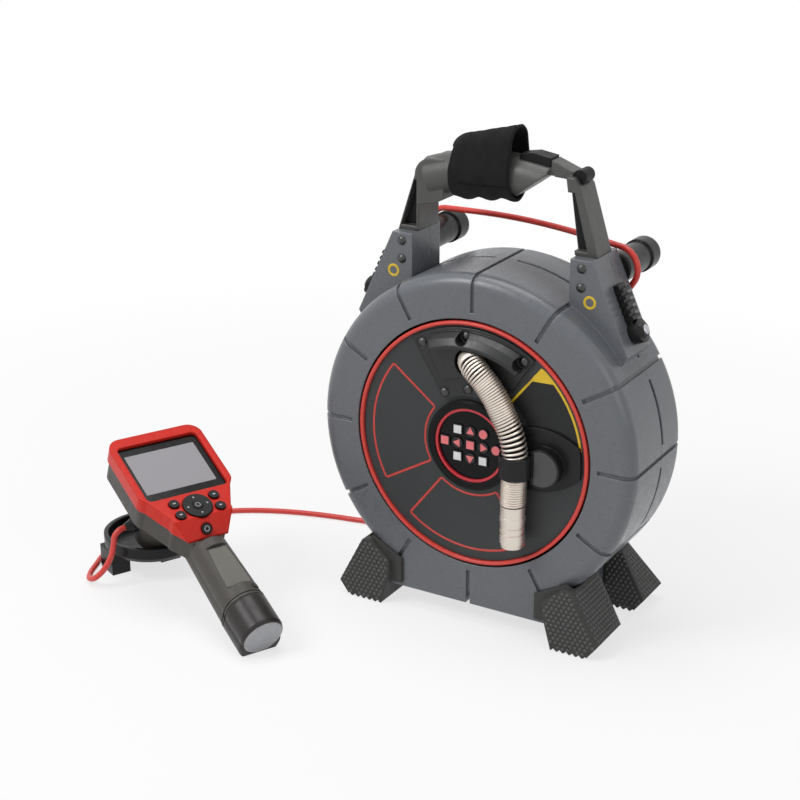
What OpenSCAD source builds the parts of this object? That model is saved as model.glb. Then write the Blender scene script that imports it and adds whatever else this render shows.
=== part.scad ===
// Pipe inspection camera: a push-cable reel on four feet, with its display handset in a floor dock.
// Millimetres. X to the right, Y to the back, Z up, floor at Z = 0. Sizes are worked out from the
// drum axis and moved at the end so that the middle of the whole footprint is the origin.

/* [Shell] */
// Outer radius of the round shell
shell_r = 150; // [140:1:165]
// Depth of the shell from its front face to its back face
shell_w = 105; // [98:1:116]
// Wall of the shell
shell_wall = 4; // [3.5:0.5:6]
// Rounding of the front and back edges
edge_r = 12; // [8:1:16]
// Radius of the round front opening
opening_r = 112; // [110:0.5:116]
// Height of the flat base above the floor
base_z = 19; // [18:1:30]
// Distance of the split behind mid-depth
split_y = 6; // [0:1:14]
// Width of the drain slots along the split
slot_w = 4; // [2:0.5:6]
// Number of radial grooves
groove_n = 12; // [6:1:16]
// Width of a groove
groove_w = 4; // [2:0.5:6]
// Depth of a groove
groove_d = 2.5; // [1:0.5:3]
// Half width of the flat base
base_half = 88; // [80:1:96]
// How far the back heels reach behind mid-depth
heel_y = 76; // [70:1:90]

/* [Towers and handle] */
// Rise of the tower tops above the round shell
tower_rise = 18.5; // [14:0.5:26]
// Inner face of a tower from the middle
tower_in = 74; // [70:0.5:78]
// Outer edge of a tower at its top
tower_out = 93.5; // [90:0.5:98]
// Distance of a tower's foot from the shell's outermost line
tower_foot_in = 22; // [18:1:28]
// Height of that foot above the drum axis
tower_foot_up = 93; // [88:1:98]
// Depth of a tower
tower_d = 48; // [42:1:54]
// Depth of the handle legs
leg_d = 27; // [24:1:34]
// How much further back the left leg reaches
left_deep = 8; // [4:1:10]
// How deep a leg sits in its tower
leg_in = 34; // [26:1:40]
// Radius of the round grip bar
grip_r = 17.5; // [14:0.5:19]
// Radius of the grip's arch
arch_r = 207; // [180:1:260]
// Rise of the grip's centre line above the tower tops, at mid-span
grip_rise = 57.5; // [54:0.5:64]
// Wall of the strap
strap_t = 2.5; // [1.5:0.5:4]
// Left end of the strap
strap_from = -42; // [-50:1:-38]
// Right end of the strap
strap_to = 14; // [8:1:16]

/* [Feet and posts] */
// Front of the front feet, ahead of the shell's front face
foot_lip = 8; // [5:0.5:12]
// Length of a foot from front to back
foot_len = 51; // [46:1:60]
// Pitch of the tread
tread_pitch = 6; // [4:0.5:9]
// Depth of the tread
tread_d = 2.4; // [1.2:0.2:2.6]
// Radius of the cable posts
post_r = 14.5; // [12:0.5:17]
// Distance of the posts below the tower tops
post_drop = 18.5; // [16:0.5:22]
// Distance of the posts from the middle
post_x = 93; // [90:0.5:96]
// Back end of the posts behind mid-depth
post_end = 91; // [90:1:104]

/* [Drum] */
// Outer radius of the red trim ring
ring_r = 110; // [107:0.5:111]
// Width of the trim ring
ring_t = 3.5; // [2.5:0.5:5]
// Running clearance of the drum pan in the shell
pan_gap = 7; // [4:0.5:12]
// Wall of the drum pan
pan_wall = 3; // [2:0.5:4]
// Radius of the fixed axle
axle_r = 12; // [10:0.5:14]
// Running clearance of the axle in its bearing
axle_fit = 0.05; // [0.02:0.01:0.1]
// Outer radius of the bearing
bearing_r = 18; // [16:0.5:22]
// Width of the bearing
bearing_w = 20; // [12:1:22]
// Inner radius of the coiled push cable
coil_in = 75; // [70:1:90]
// Room between the coiled push cable and the wall of the pan
coil_gap = 4; // [2:0.5:20]
// Width of the coil
coil_w = 38; // [24:1:44]

/* [Counter] */
// Radius of the counter's black rim
counter_r = 40.5; // [39:0.5:43]
// Radius of the keypad face
keypad_r = 31; // [30:0.5:32]
// Pitch of the keys
key_pitch = 12.3; // [11.5:0.1:12.6]
// Size of a key
key_s = 9.4; // [8:0.1:9.8]
// Clearance of a key in its hole
key_fit = 0.25; // [0.15:0.05:0.4]
// Travel of a counter key
key_travel = 0.6; // [0.3:0.1:0.8]

/* [Camera] */
// Outer radius of the camera spring
spring_r = 11.2; // [10:0.1:13]
// Wire of the spring
wire_d = 1.5; // [1.2:0.1:1.6]
// Number of curls
curls = 45; // [36:1:46]
// Radius of the camera head
head_r = 10.6; // [9:0.1:12]
// Length of the camera head
head_len = 38; // [30:1:46]

/* [Handset] */
// Width of the display head
hs_w = 92; // [88:1:100]
// Height of the display head
hs_h = 84; // [82:1:92]
// Depth of the red front
front_t = 14; // [12:1:18]
// Depth of the grey housing behind it
rear_t = 22; // [16:1:28]
// Width of the display window
win_w = 79; // [76:0.5:82]
// Height of the display window
win_h = 70; // [66:0.5:71]
// Distance from the display to the nose end
nose_len = 90; // [88:1:98]
// Radius of the nose end
nose_r = 22; // [19:0.5:24]
// Radius of the grip at the head
hgrip_r1 = 16.5; // [15:0.5:18]
// Radius of the grip at the battery
hgrip_r2 = 19.5; // [18:0.5:21]
// How much deeper than wide the grip is
grip_deep = 10; // [6:0.5:12]
// Distance from the display's centre to the battery seam
seam_y = 158; // [150:1:170]
// Length of the battery's end
batt_len = 32; // [26:1:40]
// Clearance of the battery's stem
batt_fit = 0.4; // [0.3:0.05:0.6]
// Tilt of the handset as it rests
hs_tilt = 24; // [22:0.5:26]
// Turn of the handset about the vertical
hs_turn = 64; // [56:1:72]
// Place of the display's centre, to the right of the drum axis
hs_x = -268.5; // [-290:0.5:-262]
// Place of the display's centre, behind mid-depth of the reel
hs_y = -121.5; // [-135:0.5:-110]
// Outer radius of the dock's dish
dish_r = 45; // [44:0.5:50]
// Height of the dish's rim
dish_z = 35; // [32:0.5:38]

/* [Cable] */
// Diameter of the system cable
cable_d = 5.4; // [4.6:0.1:6.4]
// How far the loop round the posts leans to the back on the left
wind_skew = 17; // [12:1:19]

/* [Hidden] */
$fn = 72;
// Clearance between pieces that seat on each other
seat = 0.2;
// Clearance between pieces that move past each other
free = 0.3;
front_y = -shell_w / 2;
back_y = shell_w / 2;
axle_z = base_z + shell_r;
inner_r = shell_r - shell_wall;
tower_top = axle_z + shell_r + tower_rise;
tower_foot = shell_r - tower_foot_in;
tower_foot_z = axle_z + tower_foot_up;
grip_z = tower_top + grip_rise;
post_z = tower_top - post_drop;
pan_r = inner_r - pan_gap;
coil_out = pan_r - pan_wall - coil_gap;
// Drum pieces along the axis, by Y
disc_front = front_y + 2;
disc_back = disc_front + 3;
pan_back = back_y - shell_wall - 18.5;
hub_end = pan_back + 1;
hub_r = 47;
// Handset frame
hs_grip_z = -22;
batt_r = hgrip_r2 + 0.3;
hs_end_y = seam_y + batt_len;
hs_z = hs_end_y * sin(hs_tilt) + (batt_r - hs_grip_z) * cos(hs_tilt);
nose_low = hs_z - nose_len * cos(hs_tilt) - nose_r * sin(hs_tilt);
dish_floor = nose_low - free;
dish_y = nose_len * sin(hs_tilt) + 12.4;
// Middle of the whole footprint
left_x = hs_x - dish_y * sin(hs_turn) - dish_r;
near_y = hs_y - hs_end_y * cos(hs_tilt) * sin(90 - hs_turn)
    + hs_grip_z * -sin(hs_tilt) * cos(hs_turn)
    - (batt_r - 1.2) * sqrt(pow(sin(hs_turn), 2) + pow(sin(hs_tilt) * cos(hs_turn), 2));
mid_x = (left_x + shell_r) / 2;
mid_y = (near_y + post_end) / 2;

// Frames
module in_set() {
    translate([-mid_x, -mid_y, 0]) children();
}

// Drum frame: x to the right, y up, z to the front
module on_axle() {
    in_set() translate([0, 0, axle_z]) rotate([90, 0, 0]) children();
}

// Handset frame: x and y across the display, z out of it
module on_handset() {
    in_set() translate([hs_x, hs_y, hs_z]) rotate([hs_tilt, 0, hs_turn]) children();
}

// Floor frame under the handset
module under_handset() {
    in_set() translate([hs_x, hs_y, 0]) rotate([0, 0, hs_turn]) children();
}

// A front-view outline given a depth from y0 to y1
module slab(y0, y1) {
    translate([0, y1, 0]) rotate([90, 0, 0]) linear_extrude(y1 - y0) children();
}

module both() {
    children();
    mirror([1, 0, 0]) children();
}

// Ring between two radii, from z0 to z1
module tube(r_out, r_in, z0, z1) {
    translate([0, 0, z0]) difference() {
        cylinder(r = r_out, h = z1 - z0);
        translate([0, 0, -1]) cylinder(r = r_in, h = z1 - z0 + 2);
    }
}

module disc(r, z0, z1) {
    translate([0, 0, z0]) cylinder(r = r, h = z1 - z0);
}

// Rectangle with round corners, centred
module round_rect(w, h, r) {
    square([w - 2 * r, h], center = true);
    square([w, h - 2 * r], center = true);
    for (x = [-1, 1], y = [-1, 1]) translate([x * (w / 2 - r), y * (h / 2 - r)]) circle(r);
}

// Dome-headed screw whose head stands on z = 0
screw_r = 4;
screw_len = 6;
module screw() {
    intersection() {
        translate([0, 0, -2.5]) sphere(r = screw_r + 1);
        disc(screw_r, 0, 4);
    }
    disc(screw_r / 2, -screw_len, 0);
}

module screw_hole() {
    disc(screw_r / 2 + 0.1, -screw_len - 0.5, 1);
}

// Round tube of n sides along a list of points, of one diameter or one for each point
function unit(v) = v / norm(v);
function tangent(p, i) = unit(p[min(i + 1, len(p) - 1)] - p[max(i - 1, 0)]);
function side_of(t) = unit(cross(t, abs(t.z) > 0.9 ? [1, 0, 0] : [0, 0, 1]));
function sides_along(p) = [for (i = 0, s = side_of(tangent(p, 0)); i < len(p); i = i + 1,
    s = i < len(p) ? unit(s - tangent(p, i) * (s * tangent(p, i))) : s) s];
module cord(p, d, n) {
    m = len(p);
    s = sides_along(p);
    pts = [for (i = [0:m - 1], k = [0:n - 1])
        let (t = tangent(p, i), b = cross(t, s[i]), a = 360 * k / n)
        p[i] + (is_list(d) ? d[i] : d) / 2 * (cos(a) * s[i] + sin(a) * b)];
    walls = [for (i = [0:m - 2], k = [0:n - 1], half = [0, 1])
        let (a = i * n + k, b = i * n + (k + 1) % n)
        half == 0 ? [a, a + n, b] : [b, a + n, b + n]];
    ends = [for (k = [1:n - 2], e = [0, 1]) e == 0 ? [0, k, k + 1]
        : [(m - 1) * n, (m - 1) * n + k + 1, (m - 1) * n + k]];
    polyhedron(pts, concat(walls, ends), convexity = 10);
}

// Smooth curve through chosen points, k steps between neighbours
function bend(a, b, c, d, t) = 0.5 * (2 * b + (c - a) * t + (2 * a - 5 * b + 4 * c - d) * t * t
    + (3 * b - a - 3 * c + d) * t * t * t);
function smooth(p, k) = concat([for (i = [0:len(p) - 2], j = [0:k - 1])
    bend(p[max(i - 1, 0)], p[i], p[i + 1], p[min(i + 2, len(p) - 1)], j / k)], [p[len(p) - 1]]);
function length_of(p, i = 0) = i >= len(p) - 1 ? 0 : norm(p[i + 1] - p[i]) + length_of(p, i + 1);

// Shell
// Half section of the shell, as radius and distance from the split, grown inward by d
module half_section(depth, d) {
    r = shell_r - d;
    h = depth - d;
    e = max(edge_r - d, 1);
    square([r - e, h]);
    square([r, h - e]);
    translate([r - e, h - e]) circle(e);
}

module half_shell(depth) {
    difference() {
        union() {
            rotate_extrude() half_section(depth, 0);
            translate([-base_half, -shell_r, 0]) cube([2 * base_half, 60, depth]);
        }
        translate([0, 0, -1]) rotate_extrude() {
            translate([0, 1]) half_section(depth, shell_wall);
            square([inner_r, 2]);
        }
    }
}

module groove_cut(depth) {
    for (i = [0:groove_n - 1]) rotate([0, 0, i * 360 / groove_n])
        rotate([90, 0, 0]) linear_extrude(groove_w, center = true) difference() {
            translate([opening_r + 6, -1]) square([shell_r, depth + 20]);
            half_section(depth, groove_d);
            translate([0, -2]) square([shell_r - groove_d, 3]);
        }
}

// Front view of one tower
module tower_outline() {
    polygon([[tower_in, tower_top], [tower_out, tower_top], [tower_foot, tower_foot_z],
        [tower_foot - 12, tower_foot_z - 22], [tower_in, tower_foot_z + 20]]);
}

// Front view of the handle's leg inside a tower
module tenon_outline(grow) {
    low = tower_top - leg_in - grow;
    polygon([[tower_in + 3 - grow, low], [tower_out + 6 + grow, low],
        [tower_out - 3 + grow, tower_top + 1], [tower_in + 3 - grow, tower_top + 1]]);
}

module tower(y0, y1) {
    both() difference() {
        slab(y0, y1) tower_outline();
        slab(-leg_d / 2 - seat, leg_d / 2 + seat) tenon_outline(seat);
        translate([0, y0 - 1, axle_z]) rotate([-90, 0, 0]) cylinder(r = inner_r, h = y1 - y0 + 2);
    }
}

tower_screw_x = (tower_in + tower_out) / 2 + 0.5;
module tower_screw_places() {
    both() for (z = [tower_top - 7, tower_top - 23])
        translate([tower_screw_x, -tower_d / 2, z]) rotate([90, 0, 0]) children();
}

module back_screw_places() {
    both() translate([tower_screw_x - 4, tower_d / 2, tower_top - 5]) rotate([-90, 0, 0]) children();
    both() translate([base_half - 46, back_y, base_z + 11]) rotate([-90, 0, 0]) children();
}

module front_shell() {
    depth = split_y - front_y;
    color([0.44, 0.45, 0.46]) in_set() difference() {
        union() {
            translate([0, split_y, axle_z]) rotate([90, 0, 0]) difference() {
                half_shell(depth);
                groove_cut(depth);
                disc(opening_r, depth - shell_wall - 1, depth + 1);
            }
            tower(-tower_d / 2, split_y);
        }
        tower_screw_places() screw_hole();
    }
}

// Slots stay open between the grooves, where the two halves stand apart
module rear_shell() {
    depth = back_y - split_y;
    color([0.43, 0.44, 0.45]) in_set() difference() {
        union() {
            translate([0, split_y, axle_z]) rotate([-90, 0, 0]) difference() {
                mirror([0, 1, 0]) half_shell(depth);
                groove_cut(depth);
                // No slots in the base
                for (i = [0:groove_n - 1]) if (sin((i + 0.5) * 360 / groove_n) < 0.6)
                    rotate([0, 0, (i + 0.5) * 360 / groove_n]) slot_cut();
                disc(axle_bolt_r, depth - shell_wall - 1, depth + 1);
            }
            tower(split_y + seat, tower_d / 2);
            heels();
        }
        back_screw_places() screw_hole();
    }
}

axle_bolt_r = 8;
slot_span = 22;
module slot_cut() {
    rotate([0, 0, -slot_span / 2]) rotate_extrude(angle = slot_span)
        translate([inner_r - 1, -1]) square([shell_wall + 3, slot_w + 1]);
}

// Legs under the back that carry the rear feet
module heels() {
    both() difference() {
        slab(back_y - 14, heel_y) polygon([[base_half - 30, base_z], [base_half, base_z],
            [base_half, base_z + 34], [base_half - 14, base_z + 40], [base_half - 30, base_z + 20]]);
        translate([0, 0, axle_z]) rotate([-90, 0, 0]) cylinder(r = inner_r, h = heel_y);
    }
}

module case_screws() {
    color([0.12, 0.12, 0.13]) in_set() {
        tower_screw_places() screw();
        back_screw_places() screw();
    }
}

// Handle
grip_c = grip_z - arch_r;
// A piece of the arch between two angles from the top, with a section drawn about its centre line
module arch(a0, a1) {
    translate([0, 0, grip_c]) rotate([90, 0, 0]) rotate([0, 0, 90 - a1])
        rotate_extrude(angle = a1 - a0) translate([arch_r, 0]) children();
}

elbow_r = 16;
channel_d = 7;
neck_x = 44;
neck_z = grip_z + 4.5;
// Front view of the left leg, drawn on the right
module left_leg_outline() {
    polygon(concat([[tower_in, tower_top + seat], [tower_out, tower_top + seat]],
        [for (a = [0:15:90]) [tower_in - 12, grip_z - 9] + elbow_r * [cos(a), sin(a)]],
        [[tower_in - 24, grip_z - 9 + elbow_r], [tower_in - 24, grip_z - 27],
        [tower_in - 16, grip_z - 31], [tower_in, grip_z - 34]]));
}

// Front view of the right leg, which leans in to the thin bar
module right_leg_outline() {
    polygon([[tower_in - 1, tower_top + seat], [tower_out, tower_top + seat], [tower_in + 2, grip_z - 2],
        [tower_in - 4, grip_z + 6], [tower_in - 11, grip_z + 6]]);
}

// Front view of the thin bar between the grip and the right leg
module bar_outline() {
    polygon([[neck_x - 5, neck_z], [neck_x + 20, neck_z - 1.5], [tower_in - 5, grip_z + 2],
        [tower_in - 5, grip_z + 9], [neck_x + 20, grip_z + 10.5], [neck_x + 3, grip_z + 17],
        [neck_x + 3, insert_low - seat], [neck_x - 5, insert_low - seat]]);
}

module handle() {
    color([0.36, 0.36, 0.35]) in_set() difference() {
        union() {
            arch(-19, 12) circle(grip_r);
            mirror([1, 0, 0]) slab(-leg_d / 2, leg_d / 2 + left_deep) left_leg_outline();
            slab(-leg_d / 2, leg_d / 2) right_leg_outline();
            both() slab(-leg_d / 2, leg_d / 2) tenon_outline(0);
            slab(-8, 8) bar_outline();
        }
        // Channel in the front of each leg
        mirror([1, 0, 0]) slab(-leg_d / 2 - 1, -leg_d / 2 + channel_d) polygon([[tower_in + 2, tower_top + 4],
            [tower_out - 2.5, tower_top + 4], [tower_in + 4.5, grip_z - 13], [tower_in + 2, grip_z - 13]]);
        slab(-leg_d / 2 - 1, -leg_d / 2 + channel_d) polygon([[tower_in - 8, tower_top + 4],
            [tower_in + 10, tower_top + 4], [tower_in - 3, grip_z - 6], [tower_in - 18, grip_z - 6]]);
        // Slope under the right end of the grip
        slab(-leg_d, leg_d) polygon([[neck_x - 40, grip_z - 25], [neck_x, neck_z],
            [neck_x + 6, neck_z], [neck_x + 6, grip_z - 25]]);
        // Seats of the insert and the corner cap
        slab(-insert_d / 2 - seat, insert_d / 2 + seat) insert_outline(seat);
        slab(-8 - seat, 8 + seat) translate([cap_x, cap_z]) circle(cap_r + seat);
    }
}

insert_d = 16;
insert_low = grip_z + 11;
module insert_outline(grow) {
    polygon([[neck_x - 26 - grow, insert_low - grow], [neck_x + 2 + grow, insert_low - grow],
        [neck_x + 2 + grow, grip_z + 18.5 + 2 * grow], [neck_x - 14, grip_z + 21 + 2 * grow],
        [neck_x - 26 - grow, grip_z + 19 + 2 * grow]]);
}

// Black trim of the handle: the long insert on top and the round cap at the right corner
cap_x = tower_in - 1.5;
cap_z = grip_z + 6;
cap_r = 6;
module handle_insert() {
    color([0.07, 0.07, 0.08]) in_set() {
        slab(-insert_d / 2, insert_d / 2) insert_outline(0);
        slab(-8, 8) translate([cap_x, cap_z]) circle(cap_r);
    }
}

// Loose hook-and-loop band round the grip, with slack that grows to the right
strap_mid = (strap_from + strap_to) / 2;
strap_low_r = grip_r + 1.8;
strap_top_r = 14;
module along_grip(x, z, lean, r) {
    translate([x, 0, z]) rotate([0, 90 - lean, 0]) cylinder(r = r, h = 100, center = true);
}

module strap() {
    low = grip_z - 1.2;
    high = grip_z + 18;
    color([0.09, 0.09, 0.09]) in_set() intersection() {
        difference() {
            union() {
                along_grip(strap_mid, low, 4.5, strap_low_r + strap_t);
                along_grip(strap_mid, high, 14, strap_top_r + strap_t);
            }
            along_grip(strap_mid, low, 4.5, strap_low_r);
            along_grip(strap_mid, high, 14, strap_top_r);
        }
        translate([strap_from, -50, grip_z - 50]) cube([strap_to - strap_from, 100, 120]);
    }
}

// Feet
foot_points = [[base_half - 12, base_z + 25], [base_half - 12, 32], [base_half - 3, 0],
    [base_half + 30, 0], [base_half + 40, 13], [base_half + 16, base_z + 40], [base_half + 7, base_z + 42]];
module foot_outline() {
    polygon(foot_points);
}

// Sunk flange beside the pad of a front foot
module flange_outline() {
    polygon([[base_half - 22, base_z + 4], [base_half - 8, base_z + 4], [base_half + 16, base_z + 36],
        [base_half + 8, base_z + 44], [base_half - 22, base_z + 28]]);
}

module tread_cut(y0, y1) {
    side = tread_d * sqrt(2);
    for (i = [0:5]) translate([base_half + i * tread_pitch, (y0 + y1) / 2, 0])
        rotate([0, 45, 0]) cube([side, y1 - y0 + 2, side], center = true);
}

module foot(y0, y1, base_y0, base_y1) {
    difference() {
        union() {
            slab(y0, y1) foot_outline();
            children();
        }
        translate([-base_half - seat, base_y0 - seat, base_z - seat])
            cube([2 * (base_half + seat), base_y1 - base_y0 + 2 * seat, 80]);
        translate([0, front_y - seat, axle_z]) rotate([-90, 0, 0])
            cylinder(r = shell_r + seat, h = shell_w + 2 * seat);
        tread_cut(y0, y1);
    }
}

foot_y0 = front_y - foot_lip;
module front_foot() {
    foot(foot_y0, foot_y0 + foot_len, front_y, back_y) slab(front_y - 3, front_y) flange_outline();
}

// The back of a rear foot slopes in towards its top
heel_lip = 5;
module rear_foot() {
    foot_y1 = heel_y + heel_lip;
    difference() {
        foot(foot_y1 - 41, foot_y1, front_y, heel_y);
        translate([0, foot_y1, 14]) rotate([29, 0, 0]) cube([200, 60, 100]);
    }
}

module front_right_foot() {
    color([0.2, 0.2, 0.2]) in_set() front_foot();
}

module front_left_foot() {
    color([0.2, 0.2, 0.2]) in_set() mirror([1, 0, 0]) front_foot();
}

module rear_right_foot() {
    color([0.2, 0.2, 0.2]) in_set() rear_foot();
}

module rear_left_foot() {
    color([0.2, 0.2, 0.2]) in_set() mirror([1, 0, 0]) rear_foot();
}

// Posts that the system cable is wound on
module post() {
    translate([post_x, tower_d / 2, post_z]) rotate([-90, 0, 0]) {
        h = post_end - tower_d / 2;
        cylinder(r1 = post_r - 1, r2 = post_r - 1.5, h = h - 20);
        translate([0, 0, h - 20]) rotate_extrude() {
            square([post_r, 14]);
            square([post_r - 6, 20]);
            translate([post_r - 6, 14]) circle(6);
        }
    }
}

module right_post() {
    color([0.13, 0.13, 0.14]) in_set() post();
}

module left_post() {
    color([0.13, 0.13, 0.14]) in_set() mirror([1, 0, 0]) post();
}

// Side lugs, on the sloping outer face of each tower
lug_slope = atan2(tower_foot - tower_out, tower_top - tower_foot_z);
module on_slope(along) {
    translate([tower_out, 0, tower_top]) rotate([0, 90 - lug_slope, 0]) translate([along, 0, 0]) children();
}

lug_r = 10;
module lug() {
    // Ribbed neck along the slope, then the round boss with its screw
    on_slope(0) {
        translate([26, -6, seat]) cube([40, 12, 5]);
        for (i = [0:4]) translate([30 + i * 6, -7, seat]) cube([3, 14, 8]);
        translate([68, 0, seat]) cylinder(r = lug_r, h = 9);
        translate([68, 0, 9]) cylinder(r1 = lug_r - 2, r2 = lug_r - 4, h = 3);
    }
}

module right_lug() {
    color([0.1, 0.1, 0.1]) in_set() lug();
}

module left_lug() {
    color([0.1, 0.1, 0.1]) in_set() mirror([1, 0, 0]) lug();
}

// Axle and slip ring
wire_r = 4;
module axle() {
    back = back_y - shell_wall;
    color([0.62, 0.63, 0.65]) on_axle() difference() {
        union() {
            disc(28, -back + 0, -back + 4);
            disc(axle_r, -back, -(hub_end - bearing_w - 4));
        }
        disc(wire_r, -back - 1, 0);
    }
}

module rear_cap() {
    color([0.15, 0.15, 0.16]) on_axle() difference() {
        translate([0, 0, -back_y]) rotate([180, 0, 0]) rotate_extrude() {
            square([34, 10]);
            square([28, 16]);
            translate([28, 10]) circle(6);
        }
        disc(28, -back_y - 12, -back_y + 1);
        translate([0, 0, -back_y - 7]) rotate([-90, 0, 0]) disc(gland_r, 20, 40);
    }
}

gland_r = 5;
gland_y = back_y + 7;
gland_top = 34 + 14;
module cable_gland() {
    color([0.1, 0.1, 0.1]) on_axle() translate([0, 0, -gland_y]) rotate([-90, 0, 0]) {
        disc(gland_r - 0.1, 30, gland_top);
        disc(gland_r + 1, 34 + seat, 38);
    }
}

// Drum
module drum_pan() {
    hub_front = -disc_back;
    color([0.2, 0.2, 0.21]) on_axle() difference() {
        union() {
            tube(pan_r, 20, -pan_back, -pan_back + pan_wall);
            tube(pan_r, pan_r - pan_wall, -pan_back, 30);
            tube(pan_r, pan_r - 12, 30, 30 + pan_wall);
            disc(30, -hub_end, 8);
            disc(hub_r, 0, hub_front);
        }
        disc(bearing_r, -hub_end - 1, -hub_end + bearing_w + 0.2);
        disc(axle_r + 2, -hub_end, -hub_end + bearing_w + 6);
        disc(counter_in + 1.5, hub_front - 16, hub_front + 1);
    }
}

counter_in = 35.5;
module drum_bearing() {
    color([0.72, 0.73, 0.75]) on_axle()
        tube(bearing_r, axle_r + axle_fit, -hub_end, -hub_end + bearing_w);
}

module slip_ring() {
    color([0.75, 0.6, 0.3]) on_axle() tube(28, bearing_r + 1, -hub_end - 5, -hub_end);
}

module push_cable() {
    color([0.12, 0.12, 0.12]) on_axle()
        tube(coil_out, coil_in, -pan_back + pan_wall + seat, -pan_back + pan_wall + seat + coil_w);
}

module hub_disc() {
    color([0.24, 0.25, 0.25]) on_axle() difference() {
        union() {
            disc(ring_r - ring_t - seat, -disc_back, -disc_front);
            disc(ring_r, -disc_back, -disc_back + 1.2);
        }
        disc(counter_in + 0.5, -disc_back - 1, -disc_front + 1);
        hub_screw_places() screw_hole();
        guide_mouth();
    }
}

module trim_ring() {
    color([0.84, 0.25, 0.2]) on_axle() difference() {
        translate([0, 0, -disc_back + 1.2 + seat]) rotate_extrude() {
            translate([ring_r - ring_t, 0]) square([ring_t, 3]);
            translate([ring_r - ring_t / 2, 3]) circle(ring_t / 2);
        }
        disc(ring_r + 5, -disc_back - 5, -disc_back + 1.2 + seat);
    }
}

// Cable guide on the upper part of the disc: a thin plate and the raised hood
plate_t = 2.5;
hood_h = 14;
guide_a0 = 56;
guide_a1 = 123;
module sector(r0, r1, a0, a1, h) {
    rotate([0, 0, a0]) rotate_extrude(angle = a1 - a0) translate([r0, 0]) square([r1 - r0, h]);
}

mouth = [-1, 75];
module guide_mouth() {
    translate([mouth.x, mouth.y, -disc_back - 1]) cylinder(r = spring_r + 1.5, h = 40);
}

hub_screw_at = [[97, 119], [97, 93], [97, 60], [50.5, 120], [50.5, 93]];
module hub_screw_places() {
    for (p = hub_screw_at) rotate([0, 0, p[1]]) translate([p[0], 0, -disc_front + plate_t - 0.4]) children();
}

// Section of the hood, as radius and height above the disc
hood_in = 88.5;
module hood_outline() {
    out = ring_r - ring_t - 5;
    polygon([[hood_in, 0], [out, 0], [out, hood_h * 0.35], [out - 4, hood_h * 0.75],
        [hood_in + 3, hood_h], [hood_in, hood_h]]);
}

module cable_guide() {
    color([0.17, 0.18, 0.18]) on_axle() difference() {
        translate([0, 0, -disc_front]) {
            sector(44, ring_r - ring_t - 2, guide_a0, guide_a1, plate_t);
            rotate([0, 0, guide_a0 + 2]) rotate_extrude(angle = 54) hood_outline();
            // Cheek beside the mouth
            sector(62, hood_in + 1, 93, 116, plate_t + 4);
        }
        guide_mouth();
        hub_screw_places() screw_hole();
        hub_screw_places() disc(screw_r + 1.5, 0, 30);
    }
}

module hub_screws() {
    color([0.08, 0.08, 0.08]) on_axle() hub_screw_places() screw();
}

// Camera on its spring: route of the centre line in the drum frame
spring_z = -disc_front + 15;
spring_way = [[-1, 75, -disc_front - 2], [0, 77, spring_z - 11], [5, 77, spring_z - 3.5],
    [13, 72, spring_z], [21, 64, spring_z], [29, 54, spring_z], [36, 42, spring_z], [44, 27, spring_z], [48.5, 12, spring_z],
    [50, -3, spring_z], [49, -20, spring_z], [48.5, -39, spring_z]];
spring_line = smooth(spring_way, 40);
spring_len = length_of(spring_line);
function at_length(p, s, i = 0) = i >= len(p) - 2 || norm(p[i + 1] - p[i]) >= s
    ? p[i] + unit(p[i + 1] - p[i]) * s : at_length(p, s - norm(p[i + 1] - p[i]), i + 1);
curl_r = spring_r - wire_d / 2;
core_r = curl_r * cos(22.5) - wire_d / 2 - free;
start_len = 29;

// Points of the helix: eight to a curl, wound about the carried side of the centre line
helix_n = curls * 8;
helix_len = spring_len - start_len - 4;
helix_c = [for (i = [0:helix_n]) at_length(spring_line, start_len + helix_len * i / helix_n)];
helix_s = sides_along(helix_c);
helix = [for (i = [0:helix_n]) let (t = tangent(helix_c, i), b = cross(t, helix_s[i]), a = 45 * i)
    helix_c[i] + curl_r * (cos(a) * helix_s[i] + sin(a) * b)];
helix_gap = min([for (i = [0:helix_n - 7], k = [6:10]) i + k > helix_n ? 99
    : norm(helix[i + k] - helix[i])]) - wire_d;
echo(spring_length = spring_len, spring_gap = helix_gap);

module camera_spring() {
    color([0.78, 0.74, 0.69]) on_axle() cord(helix, wire_d, 6);
}

// Flexible core inside the spring, with the smooth sleeve that leads into it
core_n = 40;
core_line = [for (i = [0:core_n]) at_length(spring_line, (spring_len - 0.8) * i / core_n)];
core_width = [for (i = [0:core_n]) 2 * (spring_len * i / core_n < start_len - 5 ? spring_r - 1.2 : core_r)];
module camera_core() {
    color([0.08, 0.08, 0.08]) on_axle() cord(core_line, core_width, 12);
}

head_at = spring_way[len(spring_way) - 1];
module on_head() {
    on_axle() translate(head_at) rotate([90, 0, 0]) children();
}

module camera_head() {
    color([0.76, 0.72, 0.67]) on_head() difference() {
        union() {
            disc(head_r, 0, head_len - 4);
            disc(head_r - 1, head_len - 4, head_len);
            disc(head_r + 0.4, 10, 14);
        }
        tube(head_r + 1, head_r - 0.8, 18, 19.5);
        tube(head_r + 1, head_r - 0.8, 24, 25.5);
        disc(window_r + 0.1, head_len - 4, head_len + 1);
    }
}

window_r = 7;
module camera_window() {
    color([0.6, 0.65, 0.7]) on_head() disc(window_r, head_len - 4, head_len - 0.5);
}

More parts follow.
